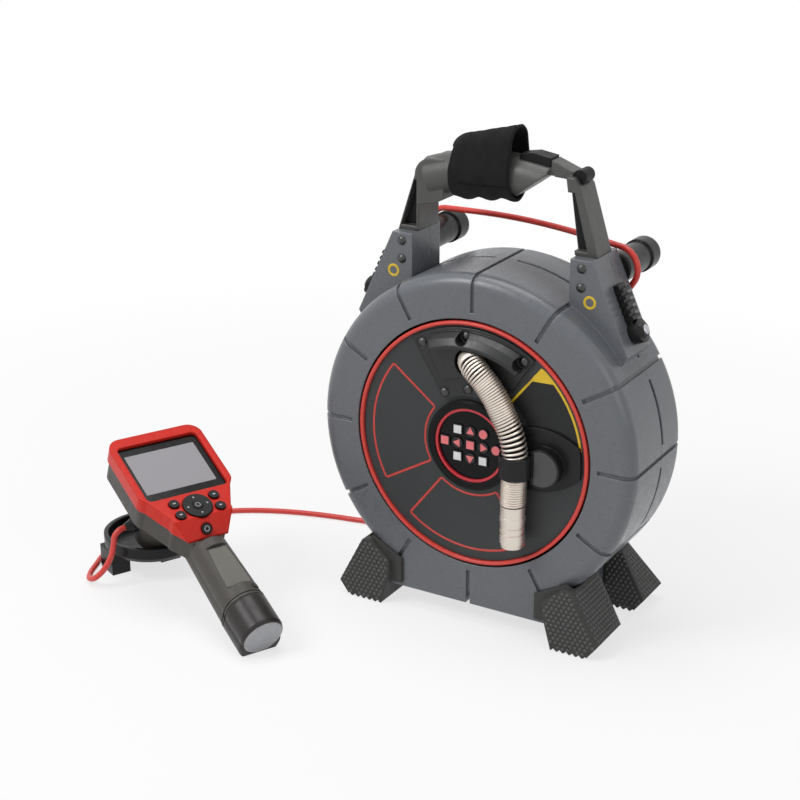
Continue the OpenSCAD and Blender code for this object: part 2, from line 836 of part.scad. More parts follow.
// Clip that holds the camera on the disc
clip_at = [50, -3];
clip_h = 19;
module camera_clip() {
    top = spring_z + disc_front;
    color([0.12, 0.12, 0.13]) on_axle() translate([0, 0, -disc_front]) difference() {
        union() {
            // Leaf-shaped foot
            linear_extrude(3) intersection() {
                translate([66, -34]) circle(63);
                translate([60, 32]) circle(60);
                translate([44, -60]) square([70, 120]);
                circle(ring_r - ring_t - 3);
            }
            // Thumb pad with a flat inner side
            linear_extrude(13) intersection() {
                translate([72, -3]) circle(17);
                translate([63, -40]) square([40, 80]);
            }
            // Arm to the band
            translate([clip_at.x, clip_at.y - clip_h / 2, 0]) cube([22, clip_h, 9]);
            translate([clip_at.x, clip_at.y + clip_h / 2, top]) rotate([90, 0, 0])
                cylinder(r = spring_r + 3, h = clip_h);
            translate([clip_at.x - 6, clip_at.y - clip_h / 2, 0]) cube([12, clip_h, top - spring_r]);
        }
        translate([clip_at.x - 0.5, clip_at.y + clip_h / 2 + 1, top]) rotate([90, 0, 0])
            cylinder(r = spring_r + 1, h = clip_h + 2);
    }
}

// Counter in the middle of the drum
face_z = -disc_front + 0.5;
rim_z = -disc_front + 4;
plate_z = face_z - 2;
module counter_body() {
    color([0.1, 0.1, 0.11]) on_axle() difference() {
        union() {
            disc(counter_r, -disc_front + seat, rim_z - 1);
            disc(counter_r - 1.5, -disc_front + seat, rim_z);
            disc(counter_in, -disc_front - 14, rim_z - 1);
        }
        disc(keypad_r + 2.5, face_z, rim_z + 1);
        disc(keypad_r + 1, -disc_front - 12, plate_z);
        for (k = key_list) translate(key_at(k)) linear_extrude(20)
            key_shape(k[3], key_s + 2 * key_fit);
    }
}

module counter_bezel() {
    color([0.82, 0.2, 0.25]) on_axle() tube(keypad_r + 2.3, keypad_r, face_z, rim_z - 1);
}

// Keys: name, column, row, shape and turn
key_list = [["up", 0, 1, "tri", 90], ["down", 0, -1, "tri", -90], ["left", -1, 0, "tri", 180],
    ["right", 1, 0, "tri", 0], ["enter", 0, 0, "square", 0], ["circle", 1, 1, "round", 0],
    ["home", -2, 0, "square", 0], ["round", 2, 0, "round", 0], ["top", -1, 1, "square", 0],
    ["low_left", -1, -1, "square", 0], ["low_right", 1, -1, "square", 0]];
function key_at(k) = [k[1] * key_pitch, k[2] * key_pitch, plate_z - 8];
module key_shape(shape, s) {
    if (shape == "square") square(s * 0.92, center = true);
    else circle(s / 2);
}

module key_face(k) {
    if (k[3] == "tri") rotate([0, 0, k[4]]) circle(key_s / 2 - 0.4, $fn = 3);
    else key_shape(k[3], key_s - 1.6);
}

module key(i) {
    k = key_list[i];
    translate(key_at(k)) {
        translate([0, 0, 8 - 1.2]) linear_extrude(4.4) key_shape(k[3], key_s);
        translate([0, 0, 8 - 1.6]) linear_extrude(1.2) key_shape(k[3], key_s + 1.8);
        translate([0, 0, 11.2]) linear_extrude(0.5) key_face(k);
    }
}

key_red = [0.92, 0.45, 0.47];
key_white = [0.92, 0.92, 0.92];
module key_up() { color(key_red) on_axle() key(0); }
module key_down() { color(key_red) on_axle() key(1); }
module key_left() { color(key_red) on_axle() key(2); }
module key_right() { color(key_red) on_axle() key(3); }
module key_enter() { color(key_red) on_axle() key(4); }
module key_circle() { color(key_red) on_axle() key(5); }
module key_home() { color(key_red) on_axle() key(6); }
module key_round() { color(key_red) on_axle() key(7); }
module key_top() { color(key_white) on_axle() key(8); }
module key_low_left() { color(key_white) on_axle() key(9); }
module key_low_right() { color(key_white) on_axle() key(10); }

// Handset
head_y = 3;
shoulder_y = -62;
shoulder_w = 59;
collar_y = -84;
// Block with the outline of the display head, drawn in by d on every side
module head_block(d, z0, z1) {
    w = hs_w / 2 - d;
    s = shoulder_w / 2 - d;
    c = hgrip_r1 + 1 - d;
    translate([0, 0, z0]) union() {
        linear_extrude(z1 - z0) translate([0, head_y]) round_rect(2 * w, hs_h - 2 * d, 13 - d);
        linear_extrude(z1 - z0)
            polygon([[-w, -26], [w, -26], [s, shoulder_y + 1], [-s, shoulder_y + 1]]);
        linear_extrude(z1 - z0) translate([0, shoulder_y + 2]) round_rect(2 * s, 24 - 2 * d, 10 - d);
        linear_extrude(z1 - z0)
            polygon([[-s, shoulder_y - 2], [s, shoulder_y - 2], [c, collar_y + d], [-c, collar_y + d]]);
    }
}

face_t = 3;
win_y = -1;
win_t = 1.6;
hs_key_travel = 1;
hs_keys = [[-19.6, -46, 4.6], [19.6, -46, 4.6], [-19.5, -60, 4.6], [19.5, -60, 4.6]];
dpad_y = -53.5;
dpad_r = 13.4;
select_r = 4.6;
slope_y = -66;
slope_a = 43;
power_y = -74.5;
power_r = 5;
module on_power() {
    translate([0, power_y, face_t - (slope_y - power_y) * tan(slope_a)]) rotate([slope_a, 0, 0]) children();
}

module handset_front() {
    color([0.87, 0.26, 0.17]) on_handset() difference() {
        head_block(0, rear_z, face_t);
        // Slope towards the grip
        translate([-60, slope_y, face_t]) rotate([slope_a, 0, 0]) translate([0, -60, 0]) cube([120, 60, 40]);
        // Sunk field round the window
        translate([0, win_y, -win_t]) linear_extrude(face_t + win_t + 1)
            round_rect(win_w + 2 * seat, win_h + 2 * seat, 5);
        translate([0, 0, rear_z - 1]) linear_extrude(front_t) round_rect(win_w - 4, win_h - 8, 3);
        // Key holes and the room behind them
        for (k = hs_keys) translate([k.x, k.y, -20]) cylinder(r = k.z + free, h = 40);
        translate([0, dpad_y, -20]) cylinder(r = dpad_r + free, h = 40);
        on_power() disc(power_r + free, -20, 20);
        translate([-25.5, -68.6, rear_z - 1]) cube([51, 30, front_t - 4]);
    }
}

rear_z = face_t - front_t;
module handset_rear() {
    cone_z = rear_z - rear_t;
    color([0.33, 0.32, 0.31]) on_handset() difference() {
        union() {
            head_block(2, cone_z, rear_z - seat);
            translate([0, 0, cone_z - 12]) cylinder(r1 = 34, r2 = 39, h = 12);
            translate([0, 0, -64]) cylinder(r1 = 27, r2 = 34, h = 64 + cone_z - 12);
            translate([0, 0, -nose_len]) cylinder(r1 = nose_r, r2 = 27, h = nose_len - 64);
            // Grip
            for (z = [0, grip_deep]) translate([0, collar_y + 14, hs_grip_z - z]) rotate([90, 0, 0])
                cylinder(r1 = hgrip_r1, r2 = hgrip_r2, h = seam_y + collar_y + 14);
        }
        // Front of the grip stays below the red front
        translate([-60, collar_y - 0.2, rear_z - seat]) cube([120, 120, 40]);
        // Flat panel on the grip
        translate([-14, -seam_y + 16, hs_grip_z + hgrip_r1 - 2.6]) cube([28, 48, 20]);
        // Battery well
        translate([0, -seam_y - 1, hs_grip_z - grip_deep / 2]) rotate([-90, 0, 0])
            cylinder(r = stem_r + batt_fit, h = stem_len + 2);
        // Cable socket in the side of the nose
        translate([-60, 0, plug_z]) rotate([0, 90, 0]) cylinder(r = plug_r + 0.05, h = 42.5);
        // Room behind the screen
        translate([0, 0, rear_z - 6]) linear_extrude(20) round_rect(win_w - 8, win_h - 12, 3);
    }
}

stem_r = 13;
stem_len = 52;
// Battery: a stem in the grip and a deep end, cut flat where it rests on the floor
module battery() {
    color([0.2, 0.19, 0.19]) difference() {
        on_handset() translate([0, -seam_y, hs_grip_z]) rotate([90, 0, 0]) {
            translate([0, -grip_deep / 2, 0]) disc(stem_r, -stem_len, 1);
            for (y = [0, -grip_deep]) translate([0, y, 0]) {
                disc(batt_r, free, batt_len - 3);
                translate([0, 0, batt_len - 3]) cylinder(r1 = batt_r, r2 = batt_r - 1.2, h = 3);
            }
        }
        in_set() translate([hs_x - 50, hs_y - 250, -80]) cube([350, 350, 80]);
    }
}

module display_window() {
    color([0.05, 0.05, 0.06]) on_handset() translate([0, win_y, -win_t]) linear_extrude(win_t)
        round_rect(win_w, win_h, 4.8);
}

lcd_w = 70;
lcd_h = 52;
module lcd_panel() {
    color([0.7, 0.7, 0.72]) on_handset() translate([0, 0, -win_t - seat - 3]) linear_extrude(3)
        square([lcd_w, lcd_h], center = true);
}

// A handset key: cap that stands out by 2 and a collar that keeps it behind the face
module hs_key(i) {
    color([0.1, 0.1, 0.11]) on_handset() translate([hs_keys[i].x, hs_keys[i].y, 0]) {
        disc(hs_keys[i].z, -3, 5);
        disc(hs_keys[i].z + 1, -4.5, -2.2);
    }
}

module handset_key_1() { hs_key(0); }
module handset_key_2() { hs_key(1); }
module handset_key_3() { hs_key(2); }
module handset_key_4() { hs_key(3); }

module handset_dpad() {
    color([0.08, 0.08, 0.09]) on_handset() translate([0, dpad_y, 0]) difference() {
        union() {
            disc(dpad_r, -3, 4.6);
            disc(dpad_r + 1, -4.5, -2.2);
        }
        disc(select_r + free, -6, 6);
    }
}

module handset_select() {
    color([0.14, 0.14, 0.15]) on_handset() translate([0, dpad_y, 0]) disc(select_r, -4.5, 5.2);
}

module power_key() {
    color([0.08, 0.08, 0.09]) on_handset() on_power() disc(power_r, -1.6, 1.2);
}

// Cable plug in the side of the nose
plug_r = 6.5;
plug_z = -66;
plug_out = 31;
plug_tip = 37;
module cable_plug() {
    color([0.1, 0.1, 0.1]) on_handset() translate([0, 0, plug_z]) rotate([0, -90, 0]) {
        disc(plug_r, 18, plug_out);
        translate([0, 0, plug_out])
            cylinder(r1 = plug_r - 0.5, r2 = cable_d / 2 + 0.8, h = plug_tip - plug_out);
    }
}

// Dock: a shallow dish for the nose on a notched foot
dock_from = -44;
dock_to = 26;
dish_low = dish_floor - 3;
module dock() {
    color([0.07, 0.07, 0.08]) under_handset() difference() {
        union() {
            translate([0, dish_y, dish_low]) cylinder(r1 = dish_r - 3, r2 = dish_r, h = 4);
            disc_at(dish_r, dish_low + 4, dish_z);
            translate([dock_from, dish_y - 4, 0]) cube([dock_to - dock_from, 26, dish_low + 2]);
        }
        disc_at(dish_r - 4, dish_floor, dish_z + 40);
        translate([dock_from + 18, dish_y - 5, -1]) cube([32, 32, dish_low - 2]);
    }
}

module disc_at(r, z0, z1) {
    translate([0, dish_y, 0]) disc(r, z0, z1);
}

// System cable
// Loop round the posts: an oval path, leaning towards the back on the left
wind_y = 49;
wind_from = 0.916;
wind_to = 1.44;
wind_n = 28;
wind_r = post_r + cable_d / 2 + 0.8;
oval = 4 * post_x + 2 * PI * wind_r;
function oval_at(s) = s < 2 * post_x ? [post_x - s, wind_r + 5 * sin(180 * s / (2 * post_x))]
    : s < 2 * post_x + PI * wind_r ? let (a = 90 + (s - 2 * post_x) / wind_r * 180 / PI)
        [-post_x + wind_r * cos(a), wind_r * sin(a)]
    : s < 4 * post_x + PI * wind_r ? [-post_x + s - 2 * post_x - PI * wind_r, -wind_r]
    : let (a = 270 + (s - 4 * post_x - PI * wind_r) / wind_r * 180 / PI)
        [post_x + wind_r * cos(a), wind_r * sin(a)];
function wound(t) = let (q = oval_at((t - floor(t)) * oval))
    [q[0], wind_y + 8 * (t - wind_from) - wind_skew * q[0] / post_x, post_z + q[1]];
wind_line = [for (i = [0:wind_n]) wound(wind_from + (wind_to - wind_from) * i / wind_n)];

module cable_winding() {
    color([0.84, 0.25, 0.2]) in_set() cord(wind_line, cable_d, 8);
}

// Tail from the gland to the loop, and lead from the loop along the floor to the plug
wind_end = wind_line[wind_n];
tail_way = [[0, gland_y, axle_z + gland_top + 0.3], [0, gland_y, axle_z + gland_top + 18], [2, 60, 258],
    [10, 60, 278], [32, 59.5, 289], [60, 58, 291.5], [84, 51, 294], wind_line[0] - [9, -9, 9],
    wind_line[0] - [3.2, -1.8, 4.2], wind_line[0] - [1, -0.3, 1.3]];
plug_way = [-cos(hs_turn), -sin(hs_turn), 0];
plug_end = [hs_x, hs_y, hs_z] + plug_tip * plug_way
    + plug_z * [sin(hs_tilt) * sin(hs_turn), -sin(hs_tilt) * cos(hs_turn), cos(hs_tilt)];
floor_z = cable_d / 2 + 0.3;
lead_way = [wind_end - [0, 0, 1], wind_end + [-0.4, 0.6, -12], [-115, 79, 270], [-125, 84, 210],
    [-138, 84, 150], [-150, 83, 95], [-158, 82, 50], [-166, 80, 18], [-178, 77, 5], [-192, 75, floor_z],
    [-212, 71, floor_z], [-233, 66, floor_z], [-253, 60, floor_z], [-274, 52, floor_z],
    [-296, 41, floor_z], [-316, 27, floor_z], [-336, 5, floor_z], [-352, -24, floor_z],
    [-362, -58, floor_z], [-364, -92, floor_z], [-360, -117, floor_z], [-352, -135, floor_z],
    [-345, -153, 4], [-339, -163, 4.6], [-332.5, -166, 6.5], [-327, -160, 13], [-322, -152, 23],
    [-316, -151.5, 34], [-312, -152, 44], plug_end + 7 * plug_way - [0, 0, 2.6],
    plug_end + 3 * plug_way - [0, 0, 0.3], plug_end + 0.5 * plug_way];
echo(tail_length = length_of(smooth(tail_way, 3)), lead_length = length_of(smooth(lead_way, 2)),
    wound_length = length_of(wind_line));

module cable_tail() {
    color([0.84, 0.25, 0.2]) in_set() cord(smooth(tail_way, 3), cable_d, 8);
}

module cable_lead() {
    color([0.84, 0.25, 0.2]) in_set() cord(smooth(lead_way, 2), cable_d, 8);
}

front_shell();
rear_shell();
handle();
handle_insert();
strap();
front_left_foot();
front_right_foot();
rear_left_foot();
rear_right_foot();
left_post();
right_post();
left_lug();
right_lug();
case_screws();
axle();
rear_cap();
cable_gland();
cable_tail();
cable_winding();
cable_lead();
dock();
hub_disc();
trim_ring();
drum_pan();
drum_bearing();
slip_ring();
push_cable();
cable_guide();
hub_screws();
camera_clip();
camera_core();
camera_spring();
camera_head();
camera_window();
counter_body();
counter_bezel();
key_up();
key_down();
key_left();
key_right();
key_enter();
key_circle();
key_home();
key_round();
key_top();
key_low_left();
key_low_right();
handset_front();
handset_rear();
display_window();
lcd_panel();
handset_dpad();
handset_select();
handset_key_1();
handset_key_2();
handset_key_3();
handset_key_4();
power_key();
battery();
cable_plug();
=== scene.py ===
import math
import bpy
from mathutils import Matrix, Vector


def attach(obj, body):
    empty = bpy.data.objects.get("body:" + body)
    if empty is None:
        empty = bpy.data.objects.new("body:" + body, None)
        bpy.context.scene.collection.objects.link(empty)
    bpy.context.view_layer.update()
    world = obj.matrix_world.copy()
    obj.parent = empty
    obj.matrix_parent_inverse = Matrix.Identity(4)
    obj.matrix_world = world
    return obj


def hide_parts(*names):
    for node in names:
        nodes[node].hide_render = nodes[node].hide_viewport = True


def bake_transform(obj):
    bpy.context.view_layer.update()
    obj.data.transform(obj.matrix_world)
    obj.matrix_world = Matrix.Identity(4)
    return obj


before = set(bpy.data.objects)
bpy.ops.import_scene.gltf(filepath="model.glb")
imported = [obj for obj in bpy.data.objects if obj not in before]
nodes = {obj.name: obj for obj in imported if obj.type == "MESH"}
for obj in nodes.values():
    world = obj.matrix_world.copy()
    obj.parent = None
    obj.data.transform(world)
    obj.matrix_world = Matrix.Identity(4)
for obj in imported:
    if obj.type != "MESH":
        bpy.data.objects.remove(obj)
scene = bpy.context.scene
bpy.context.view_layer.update()   # the solids' own box
mm = 0.001
print("frame in,", len(nodes), "nodes")

# where the reel and the handset stand in the shared frame, in mm and degrees
stand = {"reelX": 103.773, "reelY": 59.855, "axleZ": 169.0,
         "handX": -164.727, "handY": -61.645, "handZ": 115.466, "tilt": 24, "turn": 64}


def onReel(x, y, z):   # x right, y back, z up from the floor
    return Vector((stand["reelX"] + x, stand["reelY"] + y, z)) * mm


def onDrum(x, y, z):   # x right, y up, z to the front, from the drum axis
    return onReel(x, -z, stand["axleZ"] + y)


turnOnFloor = Matrix.Rotation(math.radians(stand["turn"]), 3, "Z")
handTurn = turnOnFloor @ Matrix.Rotation(math.radians(stand["tilt"]), 3, "X")
handPlace = Vector((stand["handX"], stand["handY"], stand["handZ"]))


def onHand(x, y, z):   # x and y across the display, z out of it
    return (handPlace + handTurn @ Vector((x, y, z))) * mm


# camera, fitted to the reel's rim and the display
shot = {"place": (0.74037, -1.18455, 0.7239), "down": 20.829, "round": 30.632, "lens": 77.21, "sensor": 36}
camera = bpy.data.objects.new("camera", bpy.data.cameras.new("camera"))
camera.location = shot["place"]
camera.rotation_euler = (math.radians(90 - shot["down"]), 0, math.radians(shot["round"]))
camera.data.lens, camera.data.sensor_width = shot["lens"], shot["sensor"]
scene.collection.objects.link(camera)
scene.camera = camera
print("camera set")


# mesh helpers
def piece(name, points, faces, sharp=40):
    mesh = bpy.data.meshes.new(name)
    mesh.from_pydata([tuple(p) for p in points], [], faces)
    mesh.validate()
    mesh.polygons.foreach_set("use_smooth", [True] * len(mesh.polygons))
    mesh.set_sharp_from_angle(angle=math.radians(sharp))
    made = bpy.data.objects.new(name, mesh)
    scene.collection.objects.link(made)
    return made


def dress(made, finish, body, slot, *stoodFor):
    made.data.materials.append(finish)
    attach(made, body)
    if stoodFor:
        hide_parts(*stoodFor)


def smoothLine(points, steps):   # the same curve that the solids follow
    line = []
    for i in range(len(points) - 1):
        a, b = points[max(i - 1, 0)], points[i]
        c, d = points[i + 1], points[min(i + 2, len(points) - 1)]
        for j in range(steps):
            t = j / steps
            line.append(0.5 * (2 * b + (c - a) * t + (2 * a - 5 * b + 4 * c - d) * t * t
                               + (3 * b - a - 3 * c + d) * t ** 3))
    return line + [points[-1]]


def carriedSides(line):   # a side direction for each point, carried along without twist
    sides = []
    for i in range(len(line)):
        ahead = (line[min(i + 1, len(line) - 1)] - line[max(i - 1, 0)]).normalized()
        if not sides:
            side = ahead.cross(Vector((1, 0, 0)) if abs(ahead.z) > 0.9 else Vector((0, 0, 1)))
        else:
            side = sides[-1][0] - ahead * sides[-1][0].dot(ahead)
        side.normalize()
        sides.append((side, ahead.cross(side)))
    return sides


def tubeMesh(name, line, radius, around):
    points, faces = [], []
    radii = radius if isinstance(radius, list) else [radius] * len(line)
    for p, (s, b), r in zip(line, carriedSides(line), radii):
        for k in range(around):
            a = 2 * math.pi * k / around
            points.append(p + r * (math.cos(a) * s + math.sin(a) * b))
    for i in range(len(line) - 1):
        for k in range(around):
            a, b = i * around + k, i * around + (k + 1) % around
            faces.append((a, b, b + around, a + around))
    last = (len(line) - 1) * around
    faces.append(tuple(reversed(range(around))))
    faces.append(tuple(last + k for k in range(around)))
    return piece(name, points, faces)


def plateMesh(name, outline, place, low, high, chamfer=0.0):   # a flat plate with a chamfered upper edge
    n = len(outline)
    middle = Vector((sum(p[0] for p in outline) / n, sum(p[1] for p in outline) / n))
    rows = [(outline, low), (outline, high - chamfer)]
    if chamfer:
        drawn = []
        for p in outline:
            d = Vector((p[0], p[1])) - middle
            drawn.append(tuple(middle + d * (1 - chamfer / max(d.length, chamfer))))
        rows.append((drawn, high))
    points = [place(x, y, z) for row, z in rows for x, y in row]
    faces = []
    for r in range(len(rows) - 1):
        for i in range(n):
            j = (i + 1) % n
            faces.append((r * n + i, r * n + j, r * n + n + j, r * n + n + i))
    faces.append(tuple(reversed(range(n))))
    faces.append(tuple((len(rows) - 1) * n + i for i in range(n)))
    return piece(name, points, faces, 30)


def bandMesh(name, path, width, place, low, high, closed=True):   # a flat line with soft edges along a path
    n = len(path)
    points, faces = [], []
    for i, p in enumerate(path):
        before = path[(i - 1) % n] if closed else path[max(i - 1, 0)]
        after = path[(i + 1) % n] if closed else path[min(i + 1, n - 1)]
        t = (Vector(after) - Vector(before)).normalized()
        side = Vector((-t.y, t.x))
        half, edge = width / 2, width * 0.15   # the soft edge is a share of the width
        for off, z in ((-half, low), (-half + edge, high), (half - edge, high), (half, low)):
            points.append(place(p[0] + side.x * off, p[1] + side.y * off, z))
    for i in range(n if closed else n - 1):
        j = (i + 1) % n
        for k in range(4):
            m = (k + 1) % 4
            faces.append((i * 4 + k, i * 4 + m, j * 4 + m, j * 4 + k))
    if not closed:
        faces += [(0, 1, 2, 3), tuple((n - 1) * 4 + k for k in (3, 2, 1, 0))]
    return piece(name, points, faces, 30)


def polar(r, a):   # a in degrees
    return r * math.cos(math.radians(a)), r * math.sin(math.radians(a))


def circlePath(x, y, r, n=48):
    return [(x + r * math.cos(2 * math.pi * i / n), y + r * math.sin(2 * math.pi * i / n)) for i in range(n)]


def roundRect(w, h, r, x0, y0, n=6):
    path = []
    for cx, cy, start in ((1, 1, 0), (-1, 1, 90), (-1, -1, 180), (1, -1, 270)):
        for i in range(n + 1):
            a = math.radians(start + 90 * i / n)
            path.append((x0 + cx * (w / 2 - r) + r * math.cos(a), y0 + cy * (h / 2 - r) + r * math.sin(a)))
    return path


def wedgePath(r0, r1, a0, a1, corner):   # a ring sector with cut corners, angles in degrees
    def arc(r, b0, b1, n):
        return [polar(r, b0 + (b1 - b0) * i / n) for i in range(n + 1)]
    inner, outer = math.degrees(corner / r0), math.degrees(corner / r1)
    path = arc(r1, a0 + outer, a1 - outer, 28)
    path += [polar(r1 - corner, a1), polar(r0 + corner, a1)]
    path += arc(r0, a1 - inner, a0 + inner, 20)
    return path + [polar(r0 + corner, a0), polar(r1 - corner, a0)]


# finishes
def shaderBase(name):
    finish = bpy.data.materials.new(name)
    finish.use_nodes = True
    tree = finish.node_tree
    return finish, tree, tree.nodes["Principled BSDF"]


def node(tree, kind, **values):
    made = tree.nodes.new(kind)
    for key, value in values.items():
        if key in made.inputs:
            made.inputs[key].default_value = value
        else:
            setattr(made, key, value)
    return made


def noise(tree, scale, detail, rough=0.55):
    where = tree.nodes.get("where") or node(tree, "ShaderNodeTexCoord", name="where")
    made = node(tree, "ShaderNodeTexNoise", Scale=scale, Detail=detail, Roughness=rough)
    tree.links.new(where.outputs["Object"], made.inputs["Vector"])
    return made.outputs["Fac"]


def spanOf(tree, source, low, high, fromLow=0.3, fromHigh=0.7):
    made = node(tree, "ShaderNodeMapRange")
    for key, value in (("From Min", fromLow), ("From Max", fromHigh), ("To Min", low), ("To Max", high)):
        made.inputs[key].default_value = value
    tree.links.new(source, made.inputs["Value"])
    return made.outputs["Result"]


def blendOf(tree, factor, first, second):   # first and second are colours or sockets
    made = node(tree, "ShaderNodeMix", data_type="RGBA")
    tree.links.new(factor, made.inputs["Factor"])
    for key, value in ((6, first), (7, second)):
        if isinstance(value, tuple):
            made.inputs[key].default_value = (*value, 1)
        else:
            tree.links.new(value, made.inputs[key])
    return made.outputs[2]


def linear(r, g, b):   # a colour as it looks on a screen, 0 to 255
    return tuple(((c / 255 + 0.055) / 1.055) ** 2.4 if c > 10 else c / 255 / 12.92 for c in (r, g, b))


def shade(colour, by):
    return tuple(min(1, c * by) for c in colour)


# what a moulded finish has where its own look says nothing, edge and deep in mm
plainLook = {"edge": 1.0, "glint": 0.35, "edgeLight": 1.9, "patch": 35, "vary": 0.10, "bump": 0.25,
             "deep": 0.15, "specular": 0.5}


def moulded(name, given):   # moulded plastic, rubber or painted metal with grain, and a painted highlight that makes the edges lighter
    look = {**plainLook, **given}
    finish, tree, shader = shaderBase(name)
    colour = linear(*look["colour"])
    link = tree.links.new
    rounded = node(tree, "ShaderNodeBevel", Radius=look["edge"] * mm, samples=6)
    surface = tree.nodes.new("ShaderNodeNewGeometry")
    bent = node(tree, "ShaderNodeVectorMath", operation="DOT_PRODUCT")
    link(rounded.outputs["Normal"], bent.inputs[0])
    link(surface.outputs["Normal"], bent.inputs[1])
    # painted highlight: the edges, where the bevel bends the normal, are blended towards a lighter colour
    glintShare = spanOf(tree, bent.outputs["Value"], look["glint"], 0.0, 0.80, 0.995)
    patch = spanOf(tree, noise(tree, look["patch"], 6), -look["vary"], look["vary"])
    lighter = node(tree, "ShaderNodeMath", operation="ADD", use_clamp=True)
    link(patch, lighter.inputs[0])
    lighter.inputs[1].default_value = 0.5
    body = blendOf(tree, lighter.outputs[0], shade(colour, 0.8), shade(colour, 1.2))
    link(blendOf(tree, glintShare, body, shade(colour, look["edgeLight"])), shader.inputs["Base Color"])
    worn = spanOf(tree, noise(tree, look["patch"] * 4, 5), look["rough"] - 0.06, look["rough"] + 0.08)
    link(worn, shader.inputs["Roughness"])
    bump = node(tree, "ShaderNodeBump", Strength=look["bump"], Distance=look["deep"] * mm)
    link(noise(tree, look["grain"], 3), bump.inputs["Height"])
    link(rounded.outputs["Normal"], bump.inputs["Normal"])
    link(bump.outputs["Normal"], shader.inputs["Normal"])
    shader.inputs["Specular IOR Level"].default_value = look["specular"]
    return finish


def metal(name, look):   # turned or drawn metal with fine streaks
    finish, tree, shader = shaderBase(name)
    colour = linear(*look["colour"])
    tree.links.new(blendOf(tree, noise(tree, look["grain"], 5), shade(colour, 0.82), shade(colour, 1.12)),
                   shader.inputs["Base Color"])
    tree.links.new(spanOf(tree, noise(tree, look["grain"] * 2, 4), look["rough"] - 0.08, look["rough"] + 0.1),
                   shader.inputs["Roughness"])
    bump = node(tree, "ShaderNodeBump", Strength=0.15, Distance=0.05 * mm)
    tree.links.new(noise(tree, look["grain"] * 3, 3), bump.inputs["Height"])
    tree.links.new(bump.outputs["Normal"], shader.inputs["Normal"])
    shader.inputs["Metallic"].default_value = 1.0
    return finish


def woven(name, look):   # hook-and-loop band: a short matted pile
    finish, tree, shader = shaderBase(name)
    colour = linear(*look["colour"])
    pile = noise(tree, look["pile"], 8, 0.75)
    matted = spanOf(tree, pile, 0.0, 1.0, 0.35, 0.65)
    tree.links.new(blendOf(tree, matted, shade(colour, 0.5), shade(colour, 1.5)), shader.inputs["Base Color"])
    bump = node(tree, "ShaderNodeBump", Strength=0.7, Distance=0.5 * mm)
    tree.links.new(pile, bump.inputs["Height"])
    tree.links.new(bump.outputs["Normal"], shader.inputs["Normal"])
    tree.links.new(spanOf(tree, noise(tree, look["pile"] / 4, 3), 0.8, 0.98), shader.inputs["Roughness"])
    shader.inputs["Specular IOR Level"].default_value = 0.12
    shader.inputs["Sheen Weight"].default_value = 0.05
    shader.inputs["Sheen Roughness"].default_value = 0.6
    return finish


def keypad(name, look):   # dark key whose raised sign is coloured
    finish = moulded(name, look)
    tree = finish.node_tree
    shader = tree.nodes["Principled BSDF"]
    old = shader.inputs["Base Color"].links[0].from_socket
    parts = node(tree, "ShaderNodeSeparateXYZ")
    tree.links.new(tree.nodes["where"].outputs["Object"], parts.inputs[0])
    raised = node(tree, "ShaderNodeMath", operation="LESS_THAN")
    tree.links.new(parts.outputs["Y"], raised.inputs[0])
    raised.inputs[1].default_value = look["from"]
    sign = linear(*look["sign"])
    mark = blendOf(tree, noise(tree, 700, 3), shade(sign, 0.85), shade(sign, 1.12))
    tree.links.new(blendOf(tree, raised.outputs[0], old, mark), shader.inputs["Base Color"])
    return finish


def glassy(name, look):   # clear window over a dark bore
    finish, tree, shader = shaderBase(name)
    colour = linear(*look["colour"])
    clouded = blendOf(tree, noise(tree, 300, 2), colour, shade(colour, 1.3))
    tree.links.new(clouded, shader.inputs["Base Color"])
    tree.links.new(spanOf(tree, noise(tree, 900, 3), 0.03, 0.09), shader.inputs["Roughness"])
    shader.inputs["Coat Weight"].default_value = 0.6
    return finish


